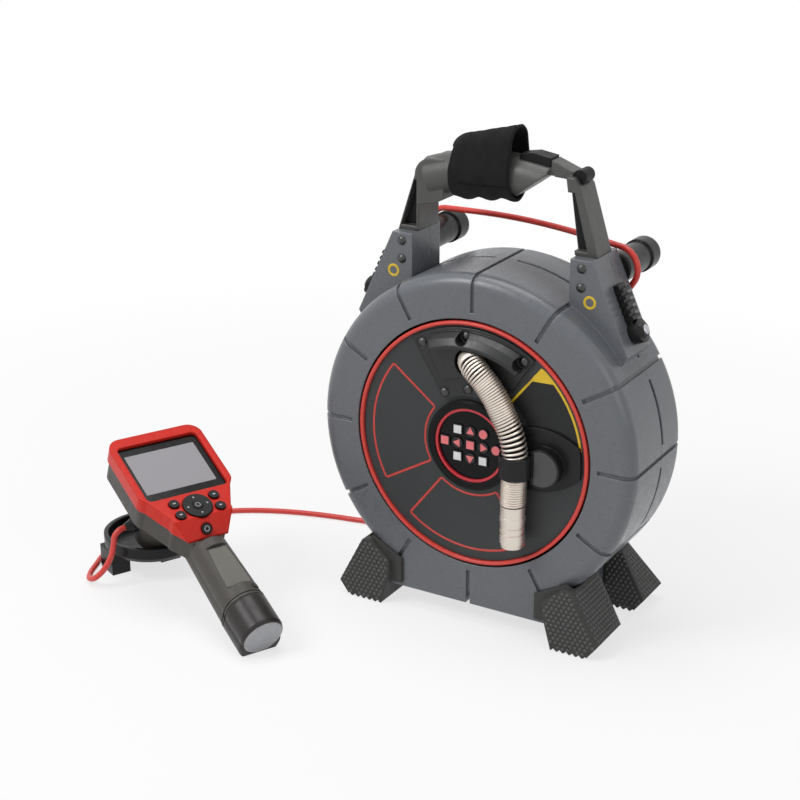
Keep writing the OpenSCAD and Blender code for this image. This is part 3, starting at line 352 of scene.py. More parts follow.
keyFrom = (stand["reelY"] - 52.25) * mm   # the signs stand in front of this Y
looks = {
    "shell": moulded("shellGrey", {"colour": (100, 103, 108), "rough": 0.29, "grain": 1500, "deep": 0.12,
                                   "edge": 1.6, "glint": 0.45, "edgeLight": 2.1, "vary": 0.05}),
    "handle": moulded("handleGrey", {"colour": (72, 72, 70), "rough": 0.42, "grain": 1400, "deep": 0.12,
                                     "edge": 2.6}),
    "black": moulded("blackMoulded", {"colour": (24, 24, 26), "rough": 0.34, "grain": 1600, "deep": 0.08,
                                      "edge": 1.2, "specular": 0.25, "glint": 0.45, "edgeLight": 2.4}),
    "gloss": moulded("blackGloss", {"colour": (17, 17, 18), "rough": 0.30, "grain": 900, "deep": 0.02,
                                    "edge": 2.4, "specular": 0.28, "glint": 0.1}),
    "glass": moulded("displayGlass", {"colour": (10, 10, 11), "rough": 0.14, "grain": 600, "deep": 0.01,
                                      "edge": 0.6, "specular": 0.25, "glint": 0.0}),
    "rim": moulded("counterRim", {"colour": (11, 11, 12), "rough": 0.22, "specular": 0.16, "grain": 1400,
                                  "deep": 0.03, "edge": 1.2, "glint": 0.3, "edgeLight": 2.2}),
    "pad": moulded("clipPad", {"colour": (66, 66, 66), "rough": 0.5, "grain": 1700, "deep": 0.08,
                               "edge": 0.8, "edgeLight": 1.4}),
    # the black insert and the grip seams, and painted shade on the floors of the leg channels
    "channel": moulded("legChannel", {"colour": (18, 18, 19), "rough": 0.5, "grain": 1500, "deep": 0.08,
                                      "edge": 0.6, "specular": 0.2, "edgeLight": 1.3}),
    "hub": moulded("hubCharcoal", {"colour": (56, 58, 59), "rough": 0.42, "grain": 1300, "deep": 0.14,
                                   "edge": 0.8, "specular": 0.3}),
    "guide": moulded("guideBlack", {"colour": (33, 34, 35), "rough": 0.30, "grain": 1500, "deep": 0.06,
                                    "edge": 2.0, "specular": 0.4, "edgeLight": 2.0}),
    "foot": moulded("footRubber", {"colour": (62, 62, 61), "rough": 0.6, "grain": 1300, "bump": 0.5,
                                   "deep": 0.3, "edge": 3.0, "glint": 0.1, "specular": 0.3}),
    # painted highlight: the pebbles are the feet's rubber, coloured lighter
    "pebble": moulded("footPebble", {"colour": (78, 78, 77), "rough": 0.46, "grain": 1300, "deep": 0.05,
                                     "edge": 0.1, "glint": 0.0, "specular": 0.45}),
    "trimRed": moulded("trimRed", {"colour": (214, 65, 55), "rough": 0.34, "grain": 1200, "deep": 0.05,
                                   "edge": 0.8, "vary": 0.06, "edgeLight": 1.25}),
    "bezelRed": moulded("bezelRed", {"colour": (206, 48, 58), "rough": 0.32, "grain": 1200, "deep": 0.04,
                                     "edge": 0.4, "vary": 0.06, "edgeLight": 1.2}),
    "handRed": moulded("handsetRed", {"colour": (206, 38, 24), "rough": 0.30, "specular": 0.2,
                                      "grain": 1500, "deep": 0.05, "edge": 2.4, "vary": 0.05,
                                      "edgeLight": 1.1, "glint": 0.0}),
    "handGrey": moulded("handsetGrey", {"colour": (72, 69, 65), "rough": 0.46, "specular": 0.3,
                                        "grain": 1900, "deep": 0.12, "edge": 1.6, "edgeLight": 1.4}),
    "panel": moulded("gripPanel", {"colour": (98, 96, 89), "rough": 0.5, "grain": 2200, "deep": 0.1,
                                   "edge": 0.6, "edgeLight": 1.2}),
    "battery": moulded("batteryCase", {"colour": (44, 41, 40), "rough": 0.34, "specular": 0.3,
                                       "grain": 1600, "deep": 0.08, "edge": 1.4}),
    "batteryEnd": moulded("batteryEnd", {"colour": (160, 161, 165), "rough": 0.4, "grain": 420, "deep": 0.5,
                                         "bump": 0.6, "vary": 0.3, "patch": 260, "edge": 0.6,
                                         "edgeLight": 1.1}),
    "cable": moulded("cableJacket", {"colour": (214, 62, 54), "rough": 0.36, "grain": 700, "deep": 0.06,
                                     "edge": 0.3, "vary": 0.08, "edgeLight": 1.1}),
    "screw": moulded("blackScrew", {"colour": (24, 24, 26), "rough": 0.28, "grain": 2500, "deep": 0.03,
                                    "edge": 0.5, "specular": 0.8}),
    "core": moulded("coreRubber", {"colour": (22, 22, 22), "rough": 0.6, "specular": 0.2, "grain": 1500,
                                   "edge": 0.4}),
    "spring": metal("springWire", {"colour": (222, 213, 203), "rough": 0.44, "grain": 1400}),
    "sleeve": metal("sleeveSteel", {"colour": (216, 208, 198), "rough": 0.55, "grain": 900}),
    "steel": metal("turnedSteel", {"colour": (180, 182, 186), "rough": 0.30, "grain": 800}),
    "brass": metal("contactBrass", {"colour": (200, 165, 90), "rough": 0.3, "grain": 800}),
    "strap": woven("strapPile", {"colour": (24, 24, 25), "pile": 1500}),
    "redKey": keypad("keyRed", {"colour": (26, 26, 28), "rough": 0.5, "grain": 1500, "edge": 0.4,
                                "sign": (238, 122, 126), "from": keyFrom}),
    "whiteKey": keypad("keyWhite", {"colour": (26, 26, 28), "rough": 0.5, "grain": 1500, "edge": 0.4,
                                    "sign": (226, 226, 226), "from": keyFrom}),
    "handKey": moulded("handsetKey", {"colour": (17, 17, 18), "rough": 0.36, "specular": 0.22,
                                      "grain": 1800, "deep": 0.05, "edge": 0.9}),
    "mark": moulded("keyMark", {"colour": (196, 196, 196), "rough": 0.5, "grain": 1800, "edge": 0.1,
                                "edgeLight": 1.0}),
    "yellow": moulded("edgingYellow", {"colour": (226, 190, 38), "rough": 0.42, "grain": 1500, "edge": 0.1,
                                       "vary": 0.06, "edgeLight": 1.0}),
    "lineRed": moulded("lineRed", {"colour": (205, 62, 54), "rough": 0.42, "grain": 1500, "edge": 0.1,
                                   "vary": 0.06, "edgeLight": 1.0}),
    "bare": moulded("barePlate", {"colour": (34, 35, 36), "rough": 0.32, "specular": 0.25, "grain": 1500,
                                  "deep": 0.03, "edge": 0.1}),
    "screen": moulded("screenGrey", {"colour": (156, 154, 158), "rough": 0.5, "specular": 0.15,
                                     "grain": 300, "deep": 0.01, "edge": 0.1, "vary": 0.03, "patch": 9,
                                     "glint": 0.0, "edgeLight": 1.0}),
    "window": glassy("cameraWindow", {"colour": (26, 30, 36)}),
}
print("finishes made,", len(looks))

wearing = {
    "shell": ["front_shell", "rear_shell"],
    "handle": ["handle"],
    "black": ["left_lug", "right_lug", "rear_cap", "camera_clip", "cable_gland", "cable_plug"],
    "gloss": ["left_post", "right_post", "dock"],
    "glass": ["display_window"],
    "rim": ["counter_body"],
    "channel": ["handle_insert"],
    "hub": ["hub_disc", "drum_pan"],
    "guide": ["cable_guide"],
    "foot": ["front_left_foot", "front_right_foot", "rear_left_foot", "rear_right_foot"],
    "trimRed": ["trim_ring"],
    "bezelRed": ["counter_bezel"],
    "handRed": ["handset_front"],
    "handGrey": ["handset_rear"],
    "battery": ["battery"],
    "screw": ["case_screws", "hub_screws"],
    "core": ["push_cable"],
    "spring": ["camera_head"],
    "steel": ["axle", "drum_bearing"],
    "brass": ["slip_ring"],
    "screen": ["lcd_panel"],
    "window": ["camera_window"],
    "redKey": ["key_up", "key_down", "key_left", "key_right", "key_enter", "key_circle", "key_home",
               "key_round"],
    "whiteKey": ["key_top", "key_low_left", "key_low_right"],
    "handKey": ["handset_dpad", "handset_select", "handset_key_1", "handset_key_2", "handset_key_3",
                "handset_key_4", "power_key"],
}
for look, names in wearing.items():
    for name in names:
        nodes[name].data.materials.clear()
        nodes[name].data.materials.append(looks[look])
print("solids dressed,", sum(len(names) for names in wearing.values()))

# system cable: one cable, tail and loop on the reel, then the lead to the handset
cable = {"d": 5.4, "clear": 0.8, "lift": 0.3, "steps": 60, "around": 16, "postX": 93, "postZ": 319,
         "postR": 14.5, "windY": 49, "skew": 17, "arch": 5, "drift": 8, "from": 0.916, "to": 1.44,
         "glandY": 59.5, "glandTop": 48, "plugTip": 37, "plugZ": -66,
         "blendX": -340, "blendFrom": 0.060, "blendTo": 0.158}
windR = cable["postR"] + cable["d"] / 2 + cable["clear"]
oval = 4 * cable["postX"] + 2 * math.pi * windR


def loopAt(t):   # round the two posts, leaning to the back on the left
    px, s = cable["postX"], (t - math.floor(t)) * oval
    if s < 2 * px:
        x, z = px - s, windR + cable["arch"] * math.sin(math.pi * s / (2 * px))
    elif s < 2 * px + math.pi * windR:
        a = math.pi / 2 + (s - 2 * px) / windR
        x, z = -px + windR * math.cos(a), windR * math.sin(a)
    elif s < 4 * px + math.pi * windR:
        x, z = -px + s - 2 * px - math.pi * windR, -windR
    else:
        a = 1.5 * math.pi + (s - 4 * px - math.pi * windR) / windR
        x, z = px + windR * math.cos(a), windR * math.sin(a)
    y = cable["windY"] + cable["drift"] * (t - cable["from"]) - cable["skew"] * x / px
    return Vector((x, y, cable["postZ"] + z))


loopLong = cable["to"] - cable["from"]
loop = [loopAt(cable["from"] + loopLong * i / cable["steps"]) for i in range(cable["steps"] + 1)]
gland = Vector((0, cable["glandY"], stand["axleZ"] + cable["glandTop"]))
tailWay = [gland + Vector((0, 0, cable["lift"])), gland + Vector((0, 0, 18)), (2, 60, 258), (10, 60, 278),
           (32, 59.5, 289), (60, 58, 291.5), (84, 51, 294), loop[0] - Vector((9, -9, 9)),
           loop[0] - Vector((3.2, -1.8, 4.2)), loop[0]]
tail = smoothLine([Vector(p) for p in tailWay], 8)
wound = [onReel(*p) for p in tail[:-1] + loop]
windEnd = loop[-1]
hand = Vector((stand["handX"] - stand["reelX"], stand["handY"] - stand["reelY"], stand["handZ"]))
plugWay = handTurn @ Vector((-1, 0, 0))
plugEnd = hand + cable["plugTip"] * plugWay + handTurn @ Vector((0, 0, cable["plugZ"]))
lie = cable["d"] / 2 + cable["lift"]
lead = [windEnd, windEnd + Vector((-0.4, 0.6, -12)), (-115, 79, 270), (-125, 84, 210), (-138, 84, 150),
        (-150, 83, 95), (-158, 82, 50), (-166, 80, 18), (-178, 77, 5), (-192, 75, lie), (-212, 71, lie),
        (-233, 66, lie),
        (-253, 60, lie), (-274, 52, lie), (-296, 41, lie), (-316, 27, lie), (-336, 5, lie), (-352, -24, lie),
        (-362, -58, lie), (-364, -92, lie), (-360, -117, lie), (-353, -136, lie), (-346.5, -151, 3.4),
        (-338, -163, 4.6), (-327, -167.5, 9.5), (-318.5, -164, 19), (-314.8, -157.5, 30.5)]
for forward, drop in ((12, 13), (10.6, 6.4), (6.2, 1.8), (0, 0)):   # an even bend into the plug
    lead.append(plugEnd + forward * plugWay - Vector((0, 0, drop)))
lead = [onReel(*p) for p in smoothLine([Vector(p) for p in lead], 6)]


def lineLength(line):
    return sum((line[i + 1] - line[i]).length for i in range(len(line) - 1))


woundCable = tubeMesh("systemCableWound", wound, cable["d"] / 2 * mm, cable["around"])
dress(woundCable, looks["cable"], "reel", "cable_red", "cable_tail", "cable_winding")
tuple(wound[0])
leadCable = tubeMesh("systemCableLead", lead, cable["d"] / 2 * mm, cable["around"])
leadCable.data.materials.append(looks["cable"])
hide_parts("cable_lead")
# the lead's placement is baked into its mesh; blendFoot is the floor point at blendX
blendFoot = onReel(cable["blendX"], 0, 0)
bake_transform(leadCable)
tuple(lead[0])
print("cables laid, %.3f m and %.3f m" % (lineLength(wound), lineLength(lead)))

# camera spring: a smooth helix about the same line as the solid, its core and the sleeve it starts in
spring = {"way": [(-1, 75, 48.5), (0, 77, 54.5), (5, 77, 62), (13, 72, 65.5), (21, 64, 65.5), (29, 54, 65.5),
                  (36, 42, 65.5), (44, 27, 65.5), (48.5, 12, 65.5), (50, -3, 65.5), (49, -20, 65.5),
                  (48.5, -39, 65.5)],
          "r": 11.2, "wire": 2.15, "curls": 52, "start": 17, "headGap": 1.2, "perCurl": 18, "around": 8,
          "pull": 0.9, "pullAt": 0.6, "pullWide": 0.09, "coreR": 8.6, "coreSteps": 60, "coreAround": 24}
sleeve = {"r": 10.4, "lip": (10.2, 9.4), "gap": 1, "steps": 24, "around": 32}
springLine = smoothLine([Vector(p) for p in spring["way"]], 40)
springLong = lineLength(springLine)


def alongLine(line, s):
    for i in range(len(line) - 1):
        step = (line[i + 1] - line[i]).length
        if step >= s or i == len(line) - 2:
            return line[i] + (line[i + 1] - line[i]) * (s / step)
        s -= step


turns = spring["curls"] * spring["perCurl"]
runs = springLong - spring["start"] - spring["headGap"]
pulls = []
for i in range(turns + 1):   # the turns are drawn apart above the clip
    off = (i / turns - spring["pullAt"]) / spring["pullWide"]
    pulls.append(1 + spring["pull"] * math.exp(-off ** 2))
gone = [sum(pulls[:i]) / sum(pulls[:-1]) for i in range(turns + 1)]
middle = [alongLine(springLine, spring["start"] + runs * share) for share in gone]
curlR = spring["r"] - spring["wire"] / 2
helix = []
for i, (p, (s, b)) in enumerate(zip(middle, carriedSides(middle))):
    a = 2 * math.pi * i / spring["perCurl"]
    helix.append(onDrum(*(p + curlR * (math.cos(a) * s + math.sin(a) * b))))
dress(tubeMesh("cameraSpring", helix, spring["wire"] / 2 * mm, spring["around"]), looks["spring"], "drum",
      "spring_steel", "camera_spring")
steps = spring["coreSteps"]
coreLine = [onDrum(*alongLine(springLine, springLong * i / steps)) for i in range(steps)]
dress(tubeMesh("cameraCore", coreLine, spring["coreR"] * mm, spring["coreAround"]), looks["core"], "drum",
      "black_rubber", "camera_core")
sleeveEnd = spring["start"] - sleeve["gap"]
steps = sleeve["steps"]
sleeveLine = [onDrum(*alongLine(springLine, sleeveEnd * i / steps)) for i in range(steps + 1)]
sleeveR = [sleeve["r"] * mm] * (steps - 1) + [r * mm for r in sleeve["lip"]]
dress(tubeMesh("cameraSleeve", sleeveLine, sleeveR, sleeve["around"]), looks["sleeve"], "drum",
      "spring_steel")
print("camera spring wound, %.1f mm" % springLong)

# pebbles in staggered rows on the outer faces of the feet, coloured lighter than the foot rubber as a painted
# highlight
pebble = {"pitch": 4.6, "rowShare": 0.866, "r": 1.7, "high": 1.1, "sunk": 0.1, "shoulderR": 0.72,
          "shoulderHigh": 0.62, "around": 8, "margin": 2.3, "least": 900, "outward": 0.3, "endways": 0.7,
          "upward": 0.8}


def flatFaces(mesh):   # the mesh's triangles, grouped by the plane that they lie in
    groups = {}
    for face in mesh.polygons:
        corners = [mesh.vertices[k].co for k in face.vertices]
        key = tuple(round(c, 2) for c in face.normal) + (round(face.normal.dot(corners[0]) / mm),)
        groups.setdefault(key, []).append((face.normal.copy(), face.area / mm ** 2, corners))
    return groups.values()


def inFace(point, corners, normal):
    edges = ((corners[k], corners[(k + 1) % len(corners)]) for k in range(len(corners)))
    return all((b - a).cross(point - a).dot(normal) >= 0 for a, b in edges)


def pebbleDome(points, faces, middle, across, up, normal):
    start, n = len(points), pebble["around"]
    shoulder = (pebble["shoulderR"], pebble["shoulderHigh"] * pebble["high"])
    for share, high in ((1.0, -pebble["sunk"]), shoulder):
        for k in range(n):
            a = 2 * math.pi * k / n
            flat = math.cos(a) * across + math.sin(a) * up
            points.append(middle + (flat * pebble["r"] * share + normal * high) * mm)
    points.append(middle + normal * pebble["high"] * mm)
    for k in range(n):
        m = (k + 1) % n
        faces += [(start + k, start + m, start + n + m, start + n + k),
                  (start + n + k, start + n + m, start + 2 * n)]


def pebbleRows(points, faces, group):   # on one flat face, clear of its edges
    normal = group[0][0]
    across = Vector((0, 0, 1)).cross(normal).normalized()
    up = normal.cross(across)
    corners = [c for _, _, part in group for c in part]
    base = corners[0]
    spanU, spanV = [[(c - base).dot(way) / mm for c in corners] for way in (across, up)]
    rowPitch = pebble["pitch"] * pebble["rowShare"]
    rows = int((max(spanV) - min(spanV)) / rowPitch)
    columns = int((max(spanU) - min(spanU)) / pebble["pitch"])
    for row in range(rows + 1):
        for column in range(columns + 1):
            u = min(spanU) + (column + 0.5 * (row % 2)) * pebble["pitch"]
            v = min(spanV) + row * rowPitch
            middle = base + (u * across + v * up) * mm
            steps = ((0, 0), (1, 0), (-1, 0), (0, 1), (0, -1))
            tests = [middle + (a * across + b * up) * pebble["margin"] * mm for a, b in steps]
            if all(any(inFace(t, part, normal) for _, _, part in group) for t in tests):
                pebbleDome(points, faces, middle, across, up, normal)


def pebbleMesh(name, source, side):
    points, faces = [], []
    for group in flatFaces(nodes[source].data):
        normal = group[0][0]
        large = sum(area for _, area, _ in group) >= pebble["least"]
        outer = side * normal.x > pebble["outward"] or abs(normal.y) > pebble["endways"]
        if large and outer and abs(normal.z) <= pebble["upward"]:
            pebbleRows(points, faces, group)
    return piece(name, points, faces, 80)


for end in ("front", "rear"):
    for side, word in ((-1, "left"), (1, "right")):
        made = pebbleMesh(end + word.capitalize() + "Pebbles", "%s_%s_foot" % (end, word), side)
        dress(made, looks["pebble"], "reel", "foot_rubber")
        print(made.name, len(made.data.polygons))

# hook-and-loop strap: a band round the grip with slack above it
strap = {"left": -42, "right": 14, "lowZ": 393.8, "lowLean": 4.5, "lowR": 20.5, "topZ": 413, "topLean": 14,
         "topR": 15.2, "thick": 2.3, "flatLong": 0.146, "along": 28, "around": 72, "bump": 2.4, "bumpAt": -10,
         "bumpLong": 22, "endDrop": 3.2, "endLong": 9, "soft": 0.35, "rim": 0.5}


def strapSection(x, out):   # closed outline across the grip at x: round the bottom, then over the top
    mid = (strap["left"] + strap["right"]) / 2
    low = strap["lowZ"] + (x - mid) * math.tan(math.radians(strap["lowLean"]))
    top = strap["topZ"] + (x - mid) * math.tan(math.radians(strap["topLean"]))
    top -= strap["endDrop"] * max(0, (strap["left"] + strap["endLong"] - x) / strap["endLong"]) ** 2
    tilt = math.asin((strap["lowR"] - strap["topR"]) / (top - low))
    points = []
    half = strap["around"] // 2
    for i in range(half):
        a = tilt - (math.pi + 2 * tilt) * i / (half - 1)
        wave = 0.5 + 0.5 * math.cos((x - strap["bumpAt"]) / strap["bumpLong"] * 2 * math.pi)
        r = strap["lowR"] + out + strap["bump"] * max(0, -math.sin(a)) ** 6 * wave
        points.append((r * math.cos(a), low + r * math.sin(a)))
    for i in range(half):
        a = math.pi - tilt - (math.pi - 2 * tilt) * i / (half - 1)
        r = strap["topR"] + out
        points.append((r * math.cos(a), top + r * math.sin(a)))
    return points


def strapBand(name, first, last, inner, outer, cut):
    rows = strap["along"]
    points, faces = [], []
    count = last - first
    for layer in (inner, outer):
        for i in range(rows + 1):
            for k in range(count):
                share = k / max(count - 1, 1)
                left = strap["left"] + cut(share)
                x = left + (strap["right"] - left) * i / rows
                soft = strap["soft"] * math.sin(x * 0.31 + k * 0.23) * math.sin(k * 0.4 + 1)
                section = strapSection(x, layer + soft)
                y, z = section[(first + k) % strap["around"]]
                points.append(onReel(x, y, z))
    whole = count >= strap["around"]
    size = (rows + 1) * count
    for i in range(rows):
        for k in range(count if whole else count - 1):
            m = (k + 1) % count
            a, b, c, d = i * count + k, i * count + m, (i + 1) * count + m, (i + 1) * count + k
            faces += [(a, b, c, d), (size + d, size + c, size + b, size + a)]
    end = rows * count
    for k in range(count if whole else count - 1):
        m = (k + 1) % count
        faces += [(m, k, size + k, size + m), (end + k, end + m, size + end + m, size + end + k)]
    if not whole:
        for i in range(rows):
            a, b = i * count, (i + 1) * count
            c, d = a + count - 1, b + count - 1
            faces += [(a, b, size + b, size + a), (d, c, size + c, size + d)]
    made = piece(name, points, faces, 50)
    soften = made.modifiers.new("softEdge", "BEVEL")
    soften.width, soften.segments, soften.limit_method = strap["rim"] * mm, 2, "ANGLE"
    return made


band = strapBand("strapBand", 0, strap["around"], -strap["thick"] / 2, strap["thick"] / 2, lambda s: 0)
dress(band, looks["strap"], "reel", "webbing", "strap")
flap = {"from": 30, "to": 50, "gap": 0.1, "outer": 1.4, "cut": 16, "cutTo": 0.55}
dress(strapBand("strapFlap", flap["from"], flap["to"], strap["thick"] / 2 + flap["gap"],
                strap["thick"] * flap["outer"], lambda s: flap["cut"] * max(0, flap["cutTo"] - s)),
      looks["strap"], "reel", "webbing")
print("strap made")

# bare plates and lines on the hub, and the plain rings on the towers
hubFace = 50.5
wedges = {"leftWedge": (45, 97, 142, 210), "lowWedge": (46, 97, 232, 303)}   # two radii, two angles
wedgeLine = {"corner": 1, "wide": 2.0, "low": hubFace - 0.05, "high": hubFace + 0.25}
for name, (r0, r1, a0, a1) in wedges.items():
    path = wedgePath(r0, r1, a0, a1, wedgeLine["corner"])
    dress(bandMesh(name + "Line", path, wedgeLine["wide"], onDrum, wedgeLine["low"], wedgeLine["high"]),
          looks["lineRed"], "drum", "trim_red")
upper = {"r0": 60, "r1": 103.5, "a0": 8, "a1": 51, "corner": 2, "edgeR": 102.7, "edgeWide": 2.3}
upperPath = wedgePath(upper["r0"], upper["r1"], upper["a0"], upper["a1"], upper["corner"])
dress(plateMesh("upperPlate", upperPath, onDrum, hubFace - 0.05, hubFace + 0.2), looks["bare"], "drum",
      "hub_charcoal")
edging = [polar(r, upper["a1"]) for r in (60, 75, 90, 102.5)]
edging += [polar(upper["edgeR"], a) for a in range(50, 7, -2)]
dress(bandMesh("upperEdging", edging, upper["edgeWide"], onDrum, hubFace, hubFace + 0.35, closed=False),
      looks["yellow"], "drum", "trim_red")
cornerPath = [polar(r, a) for r, a in ((88, 50.6), (102.4, 42), (102.6, 45), (102.6, 48), (102.4, 50.6))]
dress(plateMesh("upperCorner", cornerPath, onDrum, hubFace, hubFace + 0.3), looks["yellow"], "drum",
      "trim_red")
towerRing = {"x": 92.5, "z": 303, "front": -24, "r": 4.6, "wide": 2.3, "low": -0.05, "high": 0.3}


def onTower(x, z, out):
    return onReel(x, towerRing["front"] - out, z)


for side, name in ((-1, "left"), (1, "right")):
    path = circlePath(side * towerRing["x"], towerRing["z"], towerRing["r"])
    dress(bandMesh(name + "TowerRing", path, towerRing["wide"], onTower, towerRing["low"], towerRing["high"]),
          looks["yellow"], "reel", "shell_grey")

# painted shade: dark plates on the floors of the channels in the handle's legs; the lugs' screws and the
# clip's pad
channels = {"left": [(-76.3, 341.8), (-76.3, 381.7), (-78.3, 381.7), (-90.6, 341.8)],
            "right": [(73.4, 341.8), (83.5, 341.8), (70.6, 388.7), (65.6, 388.7)]}
channelFloor = -6.5


def onChannel(x, z, out):
    return onReel(x, channelFloor - out, z)


# painted shade: near-black plates in the channel recesses, where shade falls
for side, outline in channels.items():
    dress(plateMesh(side + "LegChannelShade", outline, onChannel, -0.05, 0.5, 0.3), looks["channel"], "reel",
          "black_plastic")
slope = {"x": 93.5, "z": 337.5, "alongX": 0.41560, "alongZ": -0.90955, "screw": 68, "screwR": 4.2,
         "low": 11.9, "high": 13.2}


def onSlope(side):   # along the tower's outer face, across it and out of it
    def place(along, across, out):
        x = slope["x"] + along * slope["alongX"] - out * slope["alongZ"]
        return onReel(side * x, across, slope["z"] + along * slope["alongZ"] + out * slope["alongX"])
    return place


for side, name in ((-1, "left"), (1, "right")):
    head = circlePath(slope["screw"], 0, slope["screwR"], 28)
    screw = plateMesh(name + "LugScrew", head[::-side], onSlope(side), slope["low"], slope["high"], 0.7)
    dress(screw, looks["steel"], "reel", "bright_steel")
pad = {"x": 72, "y": -3, "r": 15.4, "half": 114, "low": 12.95, "high": 13.5}
padArc = [polar(pad["r"], a) for a in range(-pad["half"], pad["half"] + 1, 6)]
padPath = [(pad["x"] + x, pad["y"] + y) for x, y in padArc]
padFace = plateMesh("clipPadFace", padPath, onDrum, hubFace + pad["low"], hubFace + pad["high"], 0.4)
dress(padFace, looks["pad"], "drum", "black_plastic")
print("plates and lines placed")

# display, marks on the keys and the battery's trim
screen = {"w": 69, "h": 50, "x": -1.2, "y": -0.6, "corner": 1.0}
screenPath = roundRect(screen["w"], screen["h"], screen["corner"], screen["x"], screen["y"])
dress(plateMesh("screenFace", screenPath, onHand, -0.05, 0.12), looks["screen"], "handset", "screen_grey")
arrows = {"y": -53.5, "away": 9.4, "r": 1.2, "low": 4.55, "high": 4.75}
for i in range(4):
    a = math.pi / 2 * i
    x, y = arrows["away"] * math.cos(a), arrows["y"] + arrows["away"] * math.sin(a)
    arrow = [(x + arrows["r"] * math.cos(a + t), y + arrows["r"] * math.sin(a + t)) for t in (0, 2.1, 4.19)]
    dress(plateMesh("dpadArrow%d" % (i + 1), arrow, onHand, arrows["low"], arrows["high"]), looks["mark"],
          "handset_dpad_button", "key_white")
power = {"slope": math.radians(43), "y": -74.5, "z": -4.926, "r": 2.3, "wide": 0.6, "low": 1.15, "high": 1.35}


def onPower(x, y, out):   # on the power key's sloping top
    along, rising = math.cos(power["slope"]), math.sin(power["slope"])
    return onHand(x, power["y"] + y * along - out * rising, power["z"] + y * rising + out * along)


powerPath = circlePath(0, 0, power["r"], 24)
dress(bandMesh("powerRing", powerPath, power["wide"], onPower, power["low"], power["high"]), looks["mark"],
      "power_key_button", "key_white")
select = {"r": 2.1, "wide": 0.5, "low": 5.15, "high": 5.35}
selectPath = circlePath(0, arrows["y"], select["r"], 24)
dress(bandMesh("selectRing", selectPath, select["wide"], onHand, select["low"], select["high"]),
      looks["mark"], "handset_select_button", "key_white")
dots = {"places": ((-19.6, -46), (19.6, -46), (-19.5, -60), (19.5, -60)), "w": 2.6, "h": 1.3, "corner": 0.5,
        "low": 4.95, "high": 5.15}
for i, (x, y) in enumerate(dots["places"]):
    path = roundRect(dots["w"], dots["h"], dots["corner"], x, y)
    dress(plateMesh("keyDot%d" % (i + 1), path, onHand, dots["low"], dots["high"]), looks["mark"],
          "handset_key_%d_button" % (i + 1), "key_white")

grip = {"seam": 158, "z": -22, "deep": 10, "r": 19.5, "batteryLong": 32, "endR": 18.2, "endZ": -22.6,
        "panelLow": -8.15, "panelHigh": -7.6, "groove": 0.45, "grooveSunk": 0.15,
        "seams": {"gripSeamUpper": -153.5, "gripSeamLower": -156.8}}


def onBatteryEnd(x, z, out):
    return onHand(x, -grip["seam"] - grip["batteryLong"] - out, z)


endPath = circlePath(0, grip["endZ"], grip["endR"], 64)
dress(plateMesh("batteryEndPlate", endPath[::-1], onBatteryEnd, -0.1, 0.5, 0.3), looks["batteryEnd"],
      "battery_pack", "battery_grey")
panelSide = [(7.6, -95.5), (8.8, -97), (10.6, -118), (11.9, -139), (10.9, -140.5)]
panelPath = [(-7.6, -95.5)] + panelSide + [(-x, y) for x, y in panelSide[:0:-1]]
dress(plateMesh("gripPanel", panelPath[::-1], onHand, grip["panelLow"], grip["panelHigh"], 0.3),
      looks["panel"], "handset", "handset_grey")


def gripRound(y, grow):   # the grip's outline across it, from the right over the top to the left and below
    r = grip["r"] + grow
    ring = [(r * math.cos(math.pi * i / 24), grip["z"] + r * math.sin(math.pi * i / 24)) for i in range(25)]
    ring += [(-x, 2 * grip["z"] - grip["deep"] - z) for x, z in ring]
    return [onHand(x, y, z) for x, z in ring + ring[:1]]


for name, y in grip["seams"].items():
    seam = tubeMesh(name, gripRound(y, -grip["grooveSunk"]), grip["groove"] * mm, 8)
    dress(seam, looks["channel"], "handset", "handset_grey")
latch = {"w": 7, "h": 5, "corner": 1.6, "y": -147.5, "turn": 12, "sunk": 0.35, "low": -0.6, "high": 0.9}
batteryPlate = {"half": 18, "step": 2, "from": -166, "to": -185, "low": -0.3, "high": 0.25}


def onGrip(x, y, out):   # x goes round the grip from its top, y along it
    a = math.pi / 2 - x / grip["r"]
    return onHand((grip["r"] + out) * math.cos(a), y, grip["z"] + (grip["r"] + out) * math.sin(a))


def onLatch(x, y, out):
    return onGrip(x + latch["turn"], y, out - latch["sunk"])


plateX = range(-batteryPlate["half"], batteryPlate["half"] + 1, batteryPlate["step"])
plateRows = [(out, y) for out in (batteryPlate["low"], batteryPlate["high"])
             for y in (batteryPlate["from"], batteryPlate["to"])]
platePoints = [onGrip(x, y, out) for out, y in plateRows for x in plateX]
wide = len(plateX)
plateFaces = [(3 * wide, 2 * wide, 0, wide), (2 * wide - 1, wide - 1, 3 * wide - 1, 4 * wide - 1)]
for i in range(wide - 1):
    a, b, c, d = i, wide + i, 2 * wide + i, 3 * wide + i
    plateFaces += [(a, a + 1, b + 1, b), (c, d, d + 1, c + 1), (a, c, c + 1, a + 1), (b, b + 1, d + 1, d)]
dress(piece("batteryPlate", platePoints, plateFaces), looks["bare"], "battery_pack", "battery_grey")
latchPath = roundRect(latch["w"], latch["h"], latch["corner"], 0, latch["y"])
dress(plateMesh("batteryLatch", latchPath, onLatch, latch["low"], latch["high"], 0.4), looks["handKey"],
      "handset", "handset_grey")
print("handset trim placed")

# floor, backdrop and light
stageSet = {"size": 14, "floor": 0.92, "world": 0.34, "near": 0.70, "far": 1.0, "from": 0.35, "to": 1.0}
floorMesh = bpy.data.meshes.new("floor")
half = stageSet["size"] / 2
floorCorners = [(-half, -half, 0), (half, -half, 0), (half, half, 0), (-half, half, 0)]
floorMesh.from_pydata(floorCorners, [], [(0, 1, 2, 3)])
floor = bpy.data.objects.new("floor", floorMesh)
scene.collection.objects.link(floor)


